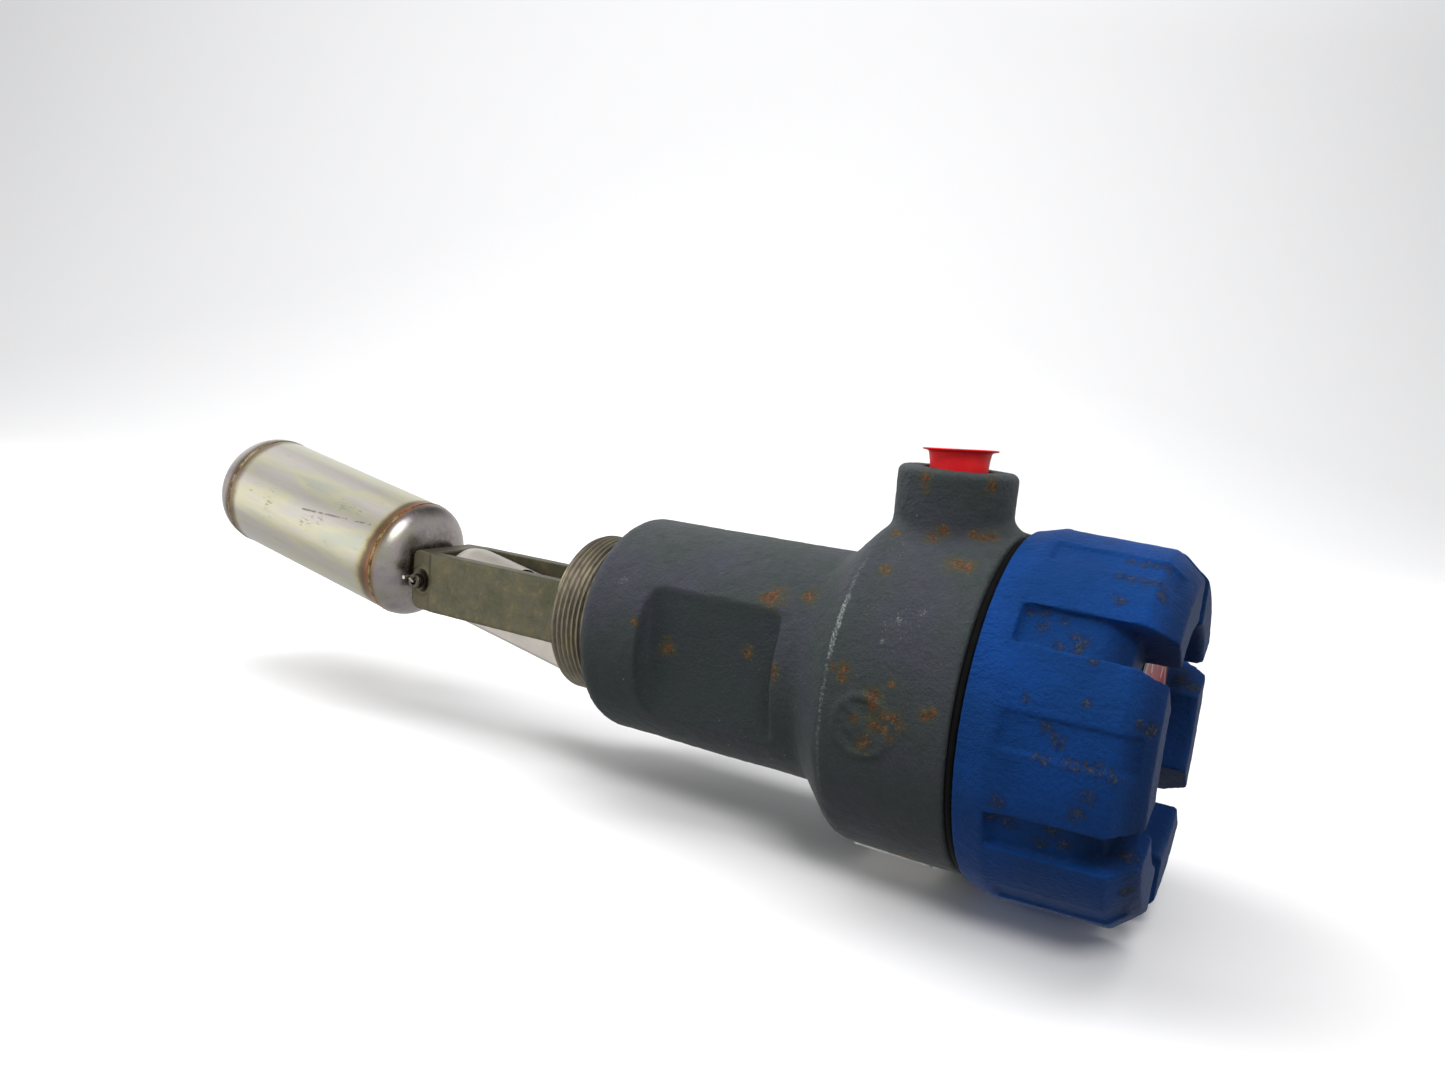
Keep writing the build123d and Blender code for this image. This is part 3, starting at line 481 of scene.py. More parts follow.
TUBE_SCRATCH = (-164.4, -23.6, 21.4), (-124.8, -20.7, 19.9)
TUBE_MARKS = [
    (-144.1, -19.1, 25.5, 5.2), (-140, -18.6, 25, 3.6), (-186.1, -24.8, 20.7, 4.6),
    (-160.6, -24.7, 16.2, 6), (-153, -23.6, 17.6, 3.4), (-134, -19.4, 23.6, 3),
]
DOME_MARKS = [
    (-115.2, -18.4, -8.7, 2.6), (-116.8, -14.6, -13.7, 2.4), (-114.1, -15, -10.2, 2.2),
    (-112, -7, 21, 2.6),
]


def scuffs(g, axes, dome):
    """Scattered scuffs, and the placed marks of the tube or of the domes."""
    out, across, up = axes
    drawn = g.combine(g.times(out, 0.28), g.times(across, 1), g.times(up, 1))
    scuff = g.times(g.patches(size=1.3, detail=6, rough=0.78, at=drawn, zero=0.60, one=0.66),
                    g.patches(size=11, detail=2, rough=0.5, zero=0.55, one=0.64))
    grit = g.noise(size=0.75, detail=5, rough=0.80, at=drawn)
    if dome:
        marks = g.spots(DOME_MARKS, wobble=0.9)
        marks = g.times(marks, g.fade(grit, zero=0.53, one=0.59))
    else:
        marks = g.times(near_line(g, *TUBE_SCRATCH, radius=0.55),
                        g.patches(size=3.2, rough=0.7, zero=0.40, one=0.50))
        for mark in TUBE_MARKS:
            spot = g.spots([mark], wobble=0.8)
            marks = g.most(marks, g.times(spot, g.fade(grit, zero=0.545, one=0.60)))
    return g.most(scuff, marks, clamp=True)


def float_stainless(dome):
    """Stainless with draw lines along the tube, or turning lines round the domes."""
    g = Graph("spun_stainless_dome" if dome else "brushed_stainless_float")
    out, across, up = float_axes(g)
    if dome:
        around = g.times(g.math("ARCTAN2", up, across), 25)
        lines = g.combine(g.times(out, 2.2), g.times(around, 0.06), g.radius(across, up))
        stops = (0.34, 146, 140, 142), (0.50, 158, 150, 150), (0.66, 150, 148, 137)
    else:
        lines = g.combine(g.times(out, 0.035), across, up)
        stops = ((0.30, 188, 180, 178), (0.46, 184, 180, 172), (0.56, 190, 186, 162),
                 (0.68, 178, 179, 166))
    brush = g.noise(size=0.55, rough=0.65, at=lines)
    broad = g.noise(size=3, at=g.combine(g.times(out, 0.08), across, up))
    tint = g.noise(size=9, detail=2, rough=0.5,
                   at=g.combine(g.times(out, 0.22), across, up))
    base = g.vary(g.tones(tint, *stops), brush, amount=0.08)
    base = g.vary(base, broad, amount=0.13)
    base = heat_colours(g, base, out, up)
    scuff = scuffs(g, (out, across, up), dome)
    base = g.over(base, (84, 80, 70), scuff, amount=0.55)
    if dome:
        # a stained ring near the pivot end
        ring = g.times(g.fade(out, zero=13, one=8.2),
                       g.patches(size=2.6, detail=5, rough=0.7, zero=0.30, one=0.62))
        base = g.over(base, (70, 58, 46), ring, amount=0.62)
    rough = g.scaled(brush, by=0.14, plus=0.22 if dome else 0.25)
    rough = g.plus(rough, g.scaled(broad, by=0.12, plus=-0.06))
    rough = g.plus(rough, g.times(scuff, 0.25), clamp=True)
    relief = g.bump(brush, mm=0.020, strength=0.55)
    dents = g.noise(size=16, detail=2, rough=0.5)
    relief = g.bump(dents, mm=0.30, strength=0.30, after=relief)
    relief = g.bump(g.times(scuff, -1), mm=0.05, strength=0.6, after=relief)
    return g.finish(color=base, metal=1, rough=rough, normal=relief)


def weld_bead():
    g = Graph("weld_bead_heat_tinted")
    out, across, up = float_axes(g)
    angle = g.math("ARCTAN2", up, across)
    tint = g.tones(g.noise(size=3.4, rough=0.66), (0.32, 84, 66, 50), (0.45, 118, 98, 66),
                   (0.55, 150, 134, 96), (0.66, 146, 140, 126))
    # red on top of the inner bead
    red = g.times(g.fade(out, zero=60, one=40), g.fade(up, zero=18, one=24))
    tint = g.over(tint, (150, 84, 50), red, amount=0.65)
    ripple = g.math("SINE", g.times(angle, 150))
    tint = g.vary(tint, g.scaled(ripple, by=0.5, plus=0.5), amount=0.12)
    height = g.plus(g.times(ripple, 0.5), g.noise(size=0.8, detail=3))
    rough = g.scaled(g.noise(size=1.2, detail=3), by=0.2, plus=0.26)
    return g.finish(color=tint, metal=1, rough=rough,
                    normal=g.bump(height, mm=0.08, strength=0.6))


def stem_weld():
    g = Graph("weld_smoked")
    tint = g.tones(g.noise(size=1.8, detail=5, rough=0.7),
                   (0.36, 34, 30, 27), (0.5, 74, 56, 42), (0.66, 140, 120, 92))
    relief = g.bump(g.noise(size=1, rough=0.65), mm=0.25, strength=0.8)
    return g.finish(color=tint, metal=0.85, rough=0.48, normal=relief)


# ------------------------------------------------------------------ other stainless
YOKE_SPOTS = [(-78.6, -16.6, -0.4, 0.8), (-104, -14.8, 5, 1.6), (-60, 16.6, 3, 1.6)]


def cast_stainless():
    g = Graph("cast_stainless_satin")
    x, y, z = g.xyz
    base = g.tones(g.noise(size=10), (0.35, 88, 88, 71), (0.5, 98, 95, 80),
                   (0.66, 104, 100, 78))
    base = g.vary(base, g.noise(size=0.9, detail=5, rough=0.72), amount=0.26)
    base = g.vary(base, g.noise(size=4, rough=0.65), amount=0.16)
    stain = g.patches(size=5, detail=5, rough=0.7, zero=0.55, one=0.70)
    base = g.over(base, (134, 112, 78), stain, amount=0.45)
    # handling scratches, worn edges that are partly a painted edge highlight, and a duller nose
    # beyond the pin's near side
    scratches = g.noise(size=0.35, detail=3, at=g.combine(g.times(x, 0.05), y, z))
    base = g.vary(base, scratches, amount=0.07)
    # pale convex edges: wear, and a painted edge highlight
    worn = g.times(g.fade(g.pointiness(), zero=0.52, one=0.60),
                   g.patches(size=2, detail=3, zero=0.4, one=0.6))
    base = g.over(base, (178, 174, 158), worn, amount=0.5)
    nose = g.times(g.fade(x, zero=-93.6, one=-95.4),
                   g.patches(size=4.5, detail=3, zero=0.30, one=0.66))
    base = g.over(base, (98, 92, 74), nose)
    base = g.over(base, (104, 66, 42), g.spots(YOKE_SPOTS, wobble=0.8), amount=0.7)
    height = g.plus(g.noise(size=0.9, rough=0.66),
                    g.times(g.noise(size=4, detail=2, rough=0.5), 1.2))
    rough = g.scaled(g.noise(size=0.8, rough=0.65), by=0.20, plus=0.40)
    return g.finish(color=base, metal=1, rough=rough,
                    normal=g.bump(height, mm=0.11, strength=0.7))


def machined_stainless():
    g = Graph("turned_stainless_thread")
    x, y, z = g.xyz
    base = g.tones(g.noise(size=8), (0.36, 112, 106, 94), (0.5, 124, 117, 105),
                   (0.64, 134, 127, 104))
    base = g.vary(base, g.noise(size=0.8, rough=0.65), amount=0.10)
    radius = g.radius(y, z)
    # painted shade: the thread's roots are painted darker and browner
    thread_root_shade = g.times(g.fade(radius, zero=29.3, one=28.6), g.fade(x, zero=0.2, one=-0.2))
    base = g.over(base, (104, 94, 74), thread_root_shade, amount=0.30)
    grime = g.patches(size=3, detail=5, rough=0.7, zero=0.54, one=0.68)
    base = g.over(base, (120, 100, 70), grime, amount=0.4)
    turning = g.noise(size=0.16, detail=2, rough=0.5, at=g.combine(x, g.times(radius, 1), 0))
    relief = g.bump(turning, mm=0.012, strength=0.5)
    relief = g.bump(g.noise(size=1.4, detail=3), mm=0.05, strength=0.4, after=relief)
    rough = g.scaled(g.noise(size=1.2, detail=3), by=0.16, plus=0.32)
    return g.finish(color=base, metal=1, rough=rough, normal=relief)


def lever_stainless():
    g = Graph("milled_stainless_lever")
    x, y, z = g.xyz
    line = g.noise(size=0.5, rough=0.62, at=g.combine(g.times(x, 0.06), y, z))
    base = g.tones(g.noise(size=11, detail=3, rough=0.55),
                   (0.38, 180, 174, 168), (0.62, 190, 184, 176))
    base = g.vary(base, line, amount=0.09)
    base = g.over(base, (168, 146, 132),
                  g.patches(size=5, rough=0.65, zero=0.55, one=0.72), amount=0.3)
    # the unused hole through it holds dried rusty grease
    out = g.vector("DOT_PRODUCT", g.vector("SUBTRACT", g.place, PIVOT), FLOAT_OUT)
    from_hole = g.vector("LENGTH", g.combine(g.plus(out, 41.4), y, 0))
    base = g.over(base, (62, 24, 22), g.fade(from_hole, zero=2.6, one=2.1))
    return g.finish(color=base, metal=1, rough=g.scaled(line, by=0.14, plus=0.34),
                    normal=g.bump(line, mm=0.02, strength=0.5))


# ------------------------------------------------------------------- small parts
def plain_metal(name, low, high, stain, rough, size, bump_mm):
    g = Graph(name)
    base = g.tones(g.noise(size=size), (0.36, *low), (0.64, *high))
    base = g.vary(base, g.noise(size=0.4, detail=3), amount=0.10)
    stained = g.patches(size=size * 0.8, detail=5, rough=0.7, zero=0.52, one=0.68)
    base = g.over(base, stain, stained, amount=0.5)
    relief = g.bump(g.noise(size=0.5, rough=0.62), mm=bump_mm, strength=0.6)
    rough = g.scaled(g.noise(size=0.9, detail=3), by=0.18, plus=rough - 0.09)
    return g.finish(color=base, metal=1, rough=rough, normal=relief)


def plastic(name, low, high, rough, size, bump_mm, scuff=None, sss=0, spec=0.5):
    g = Graph(name)
    base = g.tones(g.noise(size=size, detail=3, rough=0.55), (0.36, *low), (0.64, *high))
    base = g.vary(base, g.noise(size=0.6), amount=0.06)
    if scuff is not None:
        scuffed = g.patches(size=2.4, detail=6, rough=0.75, zero=0.56, one=0.66)
        base = g.over(base, scuff, scuffed, amount=0.4)
    relief = g.bump(g.noise(size=0.45), mm=bump_mm, strength=0.6)
    swell = g.noise(size=5, detail=2, rough=0.5)
    relief = g.bump(swell, mm=bump_mm * 3, strength=0.4, after=relief)
    rough = g.scaled(g.noise(size=1.4, detail=3), by=0.16, plus=rough - 0.08)
    return g.finish(color=base, rough=rough, normal=relief, sss=sss, spec=spec)


def rubber(name, low, high, dust, rough, spec):
    g = Graph(name)
    base = g.tones(g.noise(size=4), (0.4, *low), (0.66, *high))
    base = g.vary(base, g.noise(size=0.5, detail=3), amount=0.2)
    dusty = g.patches(size=1.2, detail=5, rough=0.75, zero=0.60, one=0.70)
    base = g.over(base, (96, 92, 86), dusty, amount=dust)
    return g.finish(color=base, rough=g.scaled(g.noise(size=1, detail=3), by=0.18, plus=rough),
                    normal=g.bump(g.noise(size=0.6), mm=0.04, strength=0.6), spec=spec)


def end_label_print():
    """A faded, scratched red disc with pale rings and twelve ticks; it carries no words."""
    g = Graph("red_printed_label")
    _, y, z = g.xyz
    radius = g.radius(y, z)
    red = g.tones(g.noise(size=7), (0.36, 134, 26, 40), (0.64, 156, 36, 50))
    red = g.vary(red, g.noise(size=0.7, rough=0.65), amount=0.10)

    def ring(at, half):
        off = g.math("ABSOLUTE", g.math("SUBTRACT", radius, at))
        return g.fade(off, zero=half + 0.12, one=half - 0.12)

    border = g.most(ring(at=29.2, half=0.40), ring(at=27.6, half=0.22))
    inner = g.times(ring(at=12, half=0.35), 1)
    degrees = g.math("DEGREES", g.math("ARCTAN2", z, y))
    turn = g.math("FRACT", g.math("DIVIDE", g.plus(degrees, 360), 30))
    off = g.math("ABSOLUTE", g.math("SUBTRACT", turn, 0.5))
    length = g.times(g.fade(radius, zero=20.9, one=21.1), g.fade(radius, zero=25.1, one=24.9))
    ticks = g.times(g.fade(off, zero=0.08, one=0.05), length)
    pale = g.most(border, g.most(inner, ticks), clamp=True)
    base = g.over(red, (214, 206, 200), pale)
    rubbed = g.patches(size=3, detail=6, rough=0.75, zero=0.58, one=0.66)
    base = g.over(base, (150, 110, 104), rubbed, amount=0.5)
    # fine pale scratches across the print, and a black rim
    scratches = g.patches(size=1.1, rough=0.7, zero=0.60, one=0.68,
                          at=g.combine(g.times(y, 1.6), g.times(z, 0.18), 0))
    base = g.over(base, (196, 150, 150), scratches, amount=0.55)
    base = g.over(base, (14, 14, 16), g.fade(radius, zero=30.8, one=31.3))
    relief = g.bump(g.noise(size=3.5, detail=3), mm=0.08, strength=0.5)
    rough = g.scaled(g.noise(size=2, detail=3), by=0.2, plus=0.34)
    return g.finish(color=base, rough=rough, normal=relief, spec=0.25)


def nameplate_steel():
    g = Graph("etched_steel_plate")
    x, y, z = g.xyz
    base = g.tones(g.noise(size=5), (0.36, 150, 150, 148), (0.64, 176, 174, 170))
    line = g.noise(size=0.3, detail=3, at=g.combine(g.times(x, 0.05), y, z))
    base = g.vary(base, line, amount=0.12)
    stained = g.patches(size=3, detail=5, rough=0.7, zero=0.55, one=0.68)
    base = g.over(base, (92, 84, 70), stained, amount=0.5)
    return g.finish(color=base, metal=1, rough=0.38,
                    normal=g.bump(line, mm=0.02, strength=0.5))


MATERIALS = {
    "housing": housing_paint(),
    "cover": cover_paint(),
    "float": float_stainless(dome=False),
    "dome": float_stainless(dome=True),
    "weld": weld_bead(),
    "stem_weld": stem_weld(),
    "yoke": cast_stainless(),
    "thread": machined_stainless(),
    "lever": lever_stainless(),
    "bright": plain_metal("bright_stainless", low=(168, 166, 160), high=(196, 192, 184),
                          stain=(120, 104, 82), rough=0.24, size=2.5, bump_mm=0.02),
    "dark_pin": plain_metal("pin_stainless_dulled", low=(70, 67, 60), high=(100, 95, 84),
                            stain=(44, 38, 32), rough=0.42, size=2, bump_mm=0.03),
    "zinc": plain_metal("zinc_plate", low=(176, 178, 180), high=(200, 198, 188),
                        stain=(160, 150, 116), rough=0.34, size=3, bump_mm=0.03),
    "brass": plain_metal("brass_terminals", low=(176, 140, 72), high=(200, 164, 92),
                         stain=(128, 94, 48), rough=0.30, size=3, bump_mm=0.02),
    "magnet": plain_metal("cast_magnet_alloy", low=(84, 84, 86), high=(112, 110, 108),
                          stain=(78, 60, 46), rough=0.46, size=2, bump_mm=0.08),
    "phenolic": plastic("black_phenolic", low=(26, 25, 25), high=(36, 34, 33),
                        scuff=(70, 66, 62), rough=0.38, size=5, bump_mm=0.03),
    "cream": plastic("cream_thermoset", low=(196, 184, 152), high=(210, 198, 168),
                     scuff=(150, 132, 100), rough=0.42, size=7, bump_mm=0.04),
    "nylon": plastic("red_nylon_button", low=(150, 28, 24), high=(170, 36, 30),
                     rough=0.36, size=3, bump_mm=0.02, sss=0.05),
    "wire": plastic("wire_sleeve", low=(196, 190, 178), high=(210, 204, 190),
                    scuff=(140, 128, 108), rough=0.42, size=4, bump_mm=0.03),
    "gasket": rubber("fibre_gasket", low=(48, 46, 42), high=(34, 34, 36),
                     dust=0.25, rough=0.34, spec=0.5),
    "o_ring": rubber("o_ring_rubber", low=(8, 8, 9), high=(12, 12, 13),
                     dust=0.04, rough=0.6, spec=0.08),
    "label": end_label_print(),
    "plug": plastic("red_plug_plastic", low=(244, 36, 42), high=(250, 48, 54),
                    scuff=(206, 40, 44), rough=0.46, size=9, bump_mm=0.03, spec=0.2),
    "plate": nameplate_steel(),
}

# material: the pieces made of it
PIECES = {
    "housing": "housing",
    "cover": "cover",
    "thread": "process_body",
    "yoke": "float_yoke",
    "bright": "yoke_snap_ring pin_lock_wire body_lock_nut float_stem magnet_screw magnet_rocker "
              "rocker_striker rocker_pin switch_magnet_screw nameplate_drive_screws",
    "dark_pin": "pivot_pin pivot_washers",
    "gasket": "body_gasket",
    "float": "float_tube",
    "dome": "float_dome_inner float_dome_outer",
    "weld": "float_weld_inner float_weld_outer",
    "stem_weld": "stem_weld",
    "lever": "magnet_lever",
    "magnet": "float_magnet switch_magnet",
    "zinc": "chassis_plate chassis_screws switch_bracket bracket_screws microswitch_spacers "
            "microswitch_screws terminal_block_screws",
    "phenolic": "microswitch_body",
    "nylon": "microswitch_plunger",
    "brass": "microswitch_terminals terminal_screws ground_screw",
    "cream": "terminal_block",
    "wire": "lead_wires",
    "o_ring": "cover_o_ring",
    "label": "end_label",
    "plug": "conduit_plug",
    "plate": "nameplate",
}
MATERIAL_OF = {piece: MATERIALS[key] for key, row in PIECES.items() for piece in row.split()}
for name, obj in NODES.items():
    if not obj.material_slots:
        obj.data.materials.append(MATERIAL_OF[name])
    for slot in obj.material_slots:
        slot.material = MATERIAL_OF[name]


# ------------------------------------------------------------------- mesh helpers
def read_vectors(mesh, field):
    values = np.empty(len(mesh.vertices) * 3, np.float32)
    mesh.vertices.foreach_get(field, values)
    return values.reshape(-1, 3).astype(np.float64)


def read_mm(mesh):
    return read_vectors(mesh, "co") * 1000.0


def write_mm(mesh, points):
    mesh.vertices.foreach_set("co", (points / 1000.0).astype(np.float32).ravel())
    mesh.update()


def smooth(mesh, points, weight, passes):
    """Rounds edges without shrinking: each pass pulls in, then pushes back out."""
    ends = np.empty(len(mesh.edges) * 2, np.int32)
    mesh.edges.foreach_get("vertices", ends)
    a, b = ends.reshape(-1, 2).T
    count = len(points)
    degree = np.maximum(np.bincount(ends, minlength=count), 1).astype(float)
    for _ in range(passes):
        for pull in (0.5, -0.52):
            total = np.zeros_like(points)
            for axis in range(3):
                total[:, axis] = (np.bincount(a, points[b, axis], count)
                                  + np.bincount(b, points[a, axis], count))
            points = points + weight[:, None] * pull * (total / degree[:, None] - points)
    return points


def noise_at(points, size, seed):
    offset = Vector((seed * 17.3, seed * 5.1, -seed * 9.7))
    scale = 1.0 / size
    return np.array([noise.noise(Vector(p) * scale + offset) for p in points])


def waves(points, *layers):
    """A sum of noises; each layer is amplitude, size, seed."""
    return sum(height * noise_at(points, size, seed) for height, size, seed in layers)


def roughen(mesh, points, weight, relief):
    """Moves the weighted points along their normals by relief(points) mm, in place."""
    write_mm(mesh, points)
    chosen = weight > 0.02
    depth = relief(points[chosen]) * weight[chosen]
    points[chosen] += read_vectors(mesh, "normal")[chosen] * depth[:, None]


def ease(values, zero, one):
    t = np.clip((values - zero) / (one - zero), 0.0, 1.0)
    return t * t * (3 - 2 * t)


def add_object(name, mesh, material):
    obj = bpy.data.objects.new(name, mesh)
    SCENE.collection.objects.link(obj)
    mesh.materials.append(material)
    return obj


def shade_smooth(mesh):
    for polygon in mesh.polygons:
        polygon.use_smooth = True


def remeshed(node, name, voxel):
    """A closed even mesh over a CAD node's shape, as a new object."""
    source = bpy.data.objects.new("tmp_" + node, NODES[node].data.copy())
    SCENE.collection.objects.link(source)
    modifier = source.modifiers.new("r", "REMESH")
    modifier.mode = "VOXEL"
    modifier.voxel_size = voxel * MM
    depsgraph = bpy.context.evaluated_depsgraph_get()
    mesh = bpy.data.meshes.new_from_object(source.evaluated_get(depsgraph))
    bpy.data.objects.remove(source)
    mesh.name = name
    mesh.materials.clear()
    shade_smooth(mesh)
    return add_object(name, mesh, MATERIAL_OF[node])


def stand_in(obj, node, body):
    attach(obj, body)
    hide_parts(node)


# ----------------------------------------------------------------------- castings
def cast_housing():
    casting = remeshed("housing", "housing_casting", voxel=0.75)
    mesh = casting.data
    points = read_mm(mesh)
    x, y, z = points.T
    radius = np.hypot(y, z)
    # outside skin only: the bores, the mouth and the inner seat keep their size
    boss_radius = np.hypot(x - BOSS_X, y)
    boss = np.where((z > 48) & (boss_radius < 26), ease(boss_radius, 13, 15.5), 0.0)
    neck = ease(radius, 30.6, 31.8) * (x < 90)
    shoulder = ease(radius, 39.6, 41) * (x >= 88) * (x <= 104)
    drum = ease(radius, 51.2, 52) * (x > 103)
    skin = np.maximum(np.maximum(boss, neck), np.maximum(shoulder, drum))
    skin *= 1.0 - 0.9 * ease(x, 139, 140.2)
    skin *= ease(x, 0.4, 2.2)
    points = smooth(mesh, points, np.clip(skin + 0.15, 0, 1) * 0.95, passes=5)

    def relief(at):
        x, y, z = at.T
        # the round cast pad on the -Y side is uneven, as if its face had been knocked back
        pad = ease(np.hypot(x - 115.6, z + 1.0), 8.2, 6.6) * (y < -45)
        slanted = np.stack([x + 0.75 * z, y, 0.45 * z], 1)
        dents = waves(slanted, (0.85, 3.9, 7)) + waves(at, (0.25, 2.2, 8))
        return waves(at, (0.13, 3.4, 1), (0.075, 1.6, 2), (0.22, 21, 3)) + pad * dents

    roughen(mesh, points, skin, relief)
    write_mm(mesh, points)
    stand_in(casting, "housing", "housing")


# the cover's outside radius before its slots and channels were cut: x, radius
COVER_SKIN = [(143.6, 54.9), (144.1, 55.4), (152, 57.4), (184.3, 55.95), (185.4, 55.2),
              (192, 49.4)]
COVER_END = 192.72


def cast_cover():
    casting = remeshed("cover", "cover_casting", voxel=0.65)
    mesh = casting.data
    points = read_mm(mesh)
    x, y, z = points.T
    radius = np.hypot(y, z)
    skin = np.maximum(ease(radius, 50.6, 51.6) * ease(x, 143.8, 145.2), ease(x, 176, 178))
    skin = np.maximum(skin, ease(x, 158, 160) * ease(radius, 47, 48))
    full = np.interp(x, *zip(*COVER_SKIN))
    # the slots and channels alternate; they rise gently to the skin at their open-edge end,
    # and the channels stop at the chamfer
    for step in range(12):
        turn = math.radians(8.75 + 30.0 * step)
        across = np.abs(y * math.cos(turn) + z * math.sin(turn))
        outward = -y * math.sin(turn) + z * math.cos(turn)
        if step % 2:
            inside = (across < 6.9) & (outward > 47.5) & (x > 150.5) & (x < 163)
            lift = 1.0 - ease(x, 151.5, 162)
        else:
            inside = (across < 6.2) & (outward > 45) & (x > 150.5) & (x < 191.5)
            inside &= radius > full - 1.9
            lift = np.maximum(1.0 - ease(x, 152.5, 170), ease(x, 183.6, 185))
        rise = np.where(inside, np.clip(full - radius, 0.0, 3.2) * lift, 0.0)
        points[:, 1:] *= (1.0 + rise / np.maximum(radius, 1.0))[:, None]
        radius = np.hypot(y, z)
    points = smooth(mesh, points, skin, passes=9)
    layers = (0.085, 3, 11), (0.05, 1.5, 12), (0.20, 19, 13)
    roughen(mesh, points, skin, lambda at: waves(at, *layers) - 0.10)
    points[:, 0] = np.minimum(points[:, 0], COVER_END)
    write_mm(mesh, points)
    stand_in(casting, "cover", "cover")


def cast_yoke():
    casting = remeshed("float_yoke", "yoke_casting", voxel=0.45)
    mesh = casting.data
    points = read_mm(mesh)
    x, y, z = points.T
    side = np.abs(y)
    skin = (x < -14) * ease(side, 11, 12.2) * ease(np.hypot(x - PIVOT.x, z), 5.4, 6.6)
    # the two ends that carry the pin are faced off a little thinner than the arms
    face = ease(side, 13.6, 15.4) * (1.0 - ease(x, -95.2, -93.4)) * skin
    y -= np.sign(y) * 0.55 * face
    points = smooth(mesh, points, skin, passes=4)
    layers = (0.09, 5, 21), (0.045, 1.4, 22)
    roughen(mesh, points, skin, lambda at: waves(at, *layers) - 0.03)
    write_mm(mesh, points)
    stand_in(casting, "float_yoke", "housing")


cast_housing()
cast_cover()
cast_yoke()


# ------------------------------------------------------------------ turned pieces
def ring_mesh(name, rings, steps, closed, sharp=None):
    """Skins rings of points; a ring of one point is a centre. Closed joins last to first."""
    vertices, faces, index = [], [], []
    for ring in rings:
        first = len(vertices)
        vertices += ring
        index.append([first] * steps if len(ring) == 1 else range(first, first + steps))
    for a, b in zip(index, index[1:] + (index[:1] if closed else [])):
        for k in range(steps):
            j = (k + 1) % steps
            corners = (a[k], b[k], b[j], a[j]) if closed else (a[k], a[j], b[j], b[k])
            face = list(dict.fromkeys(corners))
            if len(face) > 2:
                faces.append(face)
    mesh = bpy.data.meshes.new(name)
    mesh.from_pydata(vertices, [], faces)
    mesh.validate()
    mesh.update()
    bm = bmesh.new()
    bm.from_mesh(mesh)
    bmesh.ops.recalc_face_normals(bm, faces=bm.faces)
    for face in bm.faces:
        face.smooth = True
    for edge in bm.edges if sharp else ():
        if len(edge.link_faces) == 2 and edge.calc_face_angle(0.0) > sharp:
            edge.smooth = False
    bm.to_mesh(mesh)
    bm.free()
    return mesh


BODY_STEPS = 288
PITCH, ROOT, CREST = 2.209, 28.80, 29.86
THREAD_START, THREAD_STOP, THREAD_STEP = -19.7, 0.1, 0.12
# x, radius: from the bore out to the thread, and from the thread through the shank and back
BODY_END = [(-19.7, 26.2), (-19.7, 27.4)]
BODY_SHANK = [
    (0.1, 30.2), (0.9, 31), (20.4, 31), (20.4, 24.4), (54.5, 24.4), (54.5, 20.5),
    (17.5, 20.5), (17.5, 6), (17.5, 0), (14, 0), (14, 6), (14, 26.2),
    (-13.7, 26.2), (-13.7, 26.95), (-15.3, 26.95), (-15.3, 26.2),
]


def thread_radius(x, turn):
    """Over one pitch: root, straight flank, small flat crest, flank."""
    t = ((x - THREAD_START) / PITCH + turn) % 1.0
    up, down = np.clip([(t - 0.10) / 0.34, (0.98 - t) / 0.34], 0, 1)
    # the first turn starts on a chamfer
    chamfer = 27.9 + max(0.0, x - THREAD_START) * 1.3
    return min(ROOT + (CREST - ROOT) * min(up, down), chamfer)


def process_body():
    """The process body with a real helical thread."""
    def ring(x, radii):
        angles = (2 * math.pi * k / BODY_STEPS for k in range(BODY_STEPS))
        return [(x * MM, r * MM * math.cos(a), r * MM * math.sin(a))
                for r, a in zip(radii, angles)]

    def round_rings(profile):
        return [ring(x, [r] * (BODY_STEPS if r else 1)) for x, r in profile]

    thread = [ring(x, [thread_radius(x, k / BODY_STEPS) for k in range(BODY_STEPS)])
              for x in np.arange(THREAD_START, THREAD_STOP + 1e-6, THREAD_STEP)]
    rings = round_rings(BODY_END) + thread + round_rings(BODY_SHANK)
    mesh = ring_mesh("process_body_thread", rings, BODY_STEPS, closed=True,
                     sharp=math.radians(50))
    body = add_object("process_body_thread", mesh, MATERIALS["thread"])
    stand_in(body, "process_body", "housing")


def bead(node, name, seam, height):
    """A weld bead of overlapping scales, curved back from its middle."""
    weld = remeshed(node, name, voxel=0.28)
    mesh = weld.data
    points = read_mm(mesh)
    points = smooth(mesh, points, np.ones(len(points)), passes=2)
    write_mm(mesh, points)
    from_pivot = points - np.array(PIVOT)
    across = from_pivot[:, 1]
    up = from_pivot @ np.array(FLOAT_UP) - FLOAT_LIFT
    out = from_pivot @ np.array(FLOAT_OUT)
    scales = np.sin(np.arctan2(up, across) * 118.0 + 1.9 * (out - seam) ** 2 * 0.35)
    depth = height * (0.75 * scales + 0.6 * noise_at(points, 2.2, 31)) - height * 0.7
    depth *= ease(np.hypot(across, up), 23.8, 24.6)
    points += read_vectors(mesh, "normal") * depth[:, None]
    write_mm(mesh, points)
    stand_in(weld, node, "float")


# radius, height above the boss top: the cup's underside, its outside, the rim, the inside
PLUG_PROFILE = [
    (0, -7), (8.2, -7), (8.7, -6.6), (9, -2), (9.15, 0.2), (9.35, 2.4), (9.75, 4.7),
    (9.95, 5.2), (10.4, 5.45), (11.7, 5.65), (11.9, 5.85), (11.85, 6.12), (11.6, 6.22),
    (10.4, 6.08), (9.3, 5.85), (8.95, 5.3), (8.75, 4.3), (8.1, -5.2), (7.6, -5.7), (0, -5.8),
]
PLUG_STEPS = 144


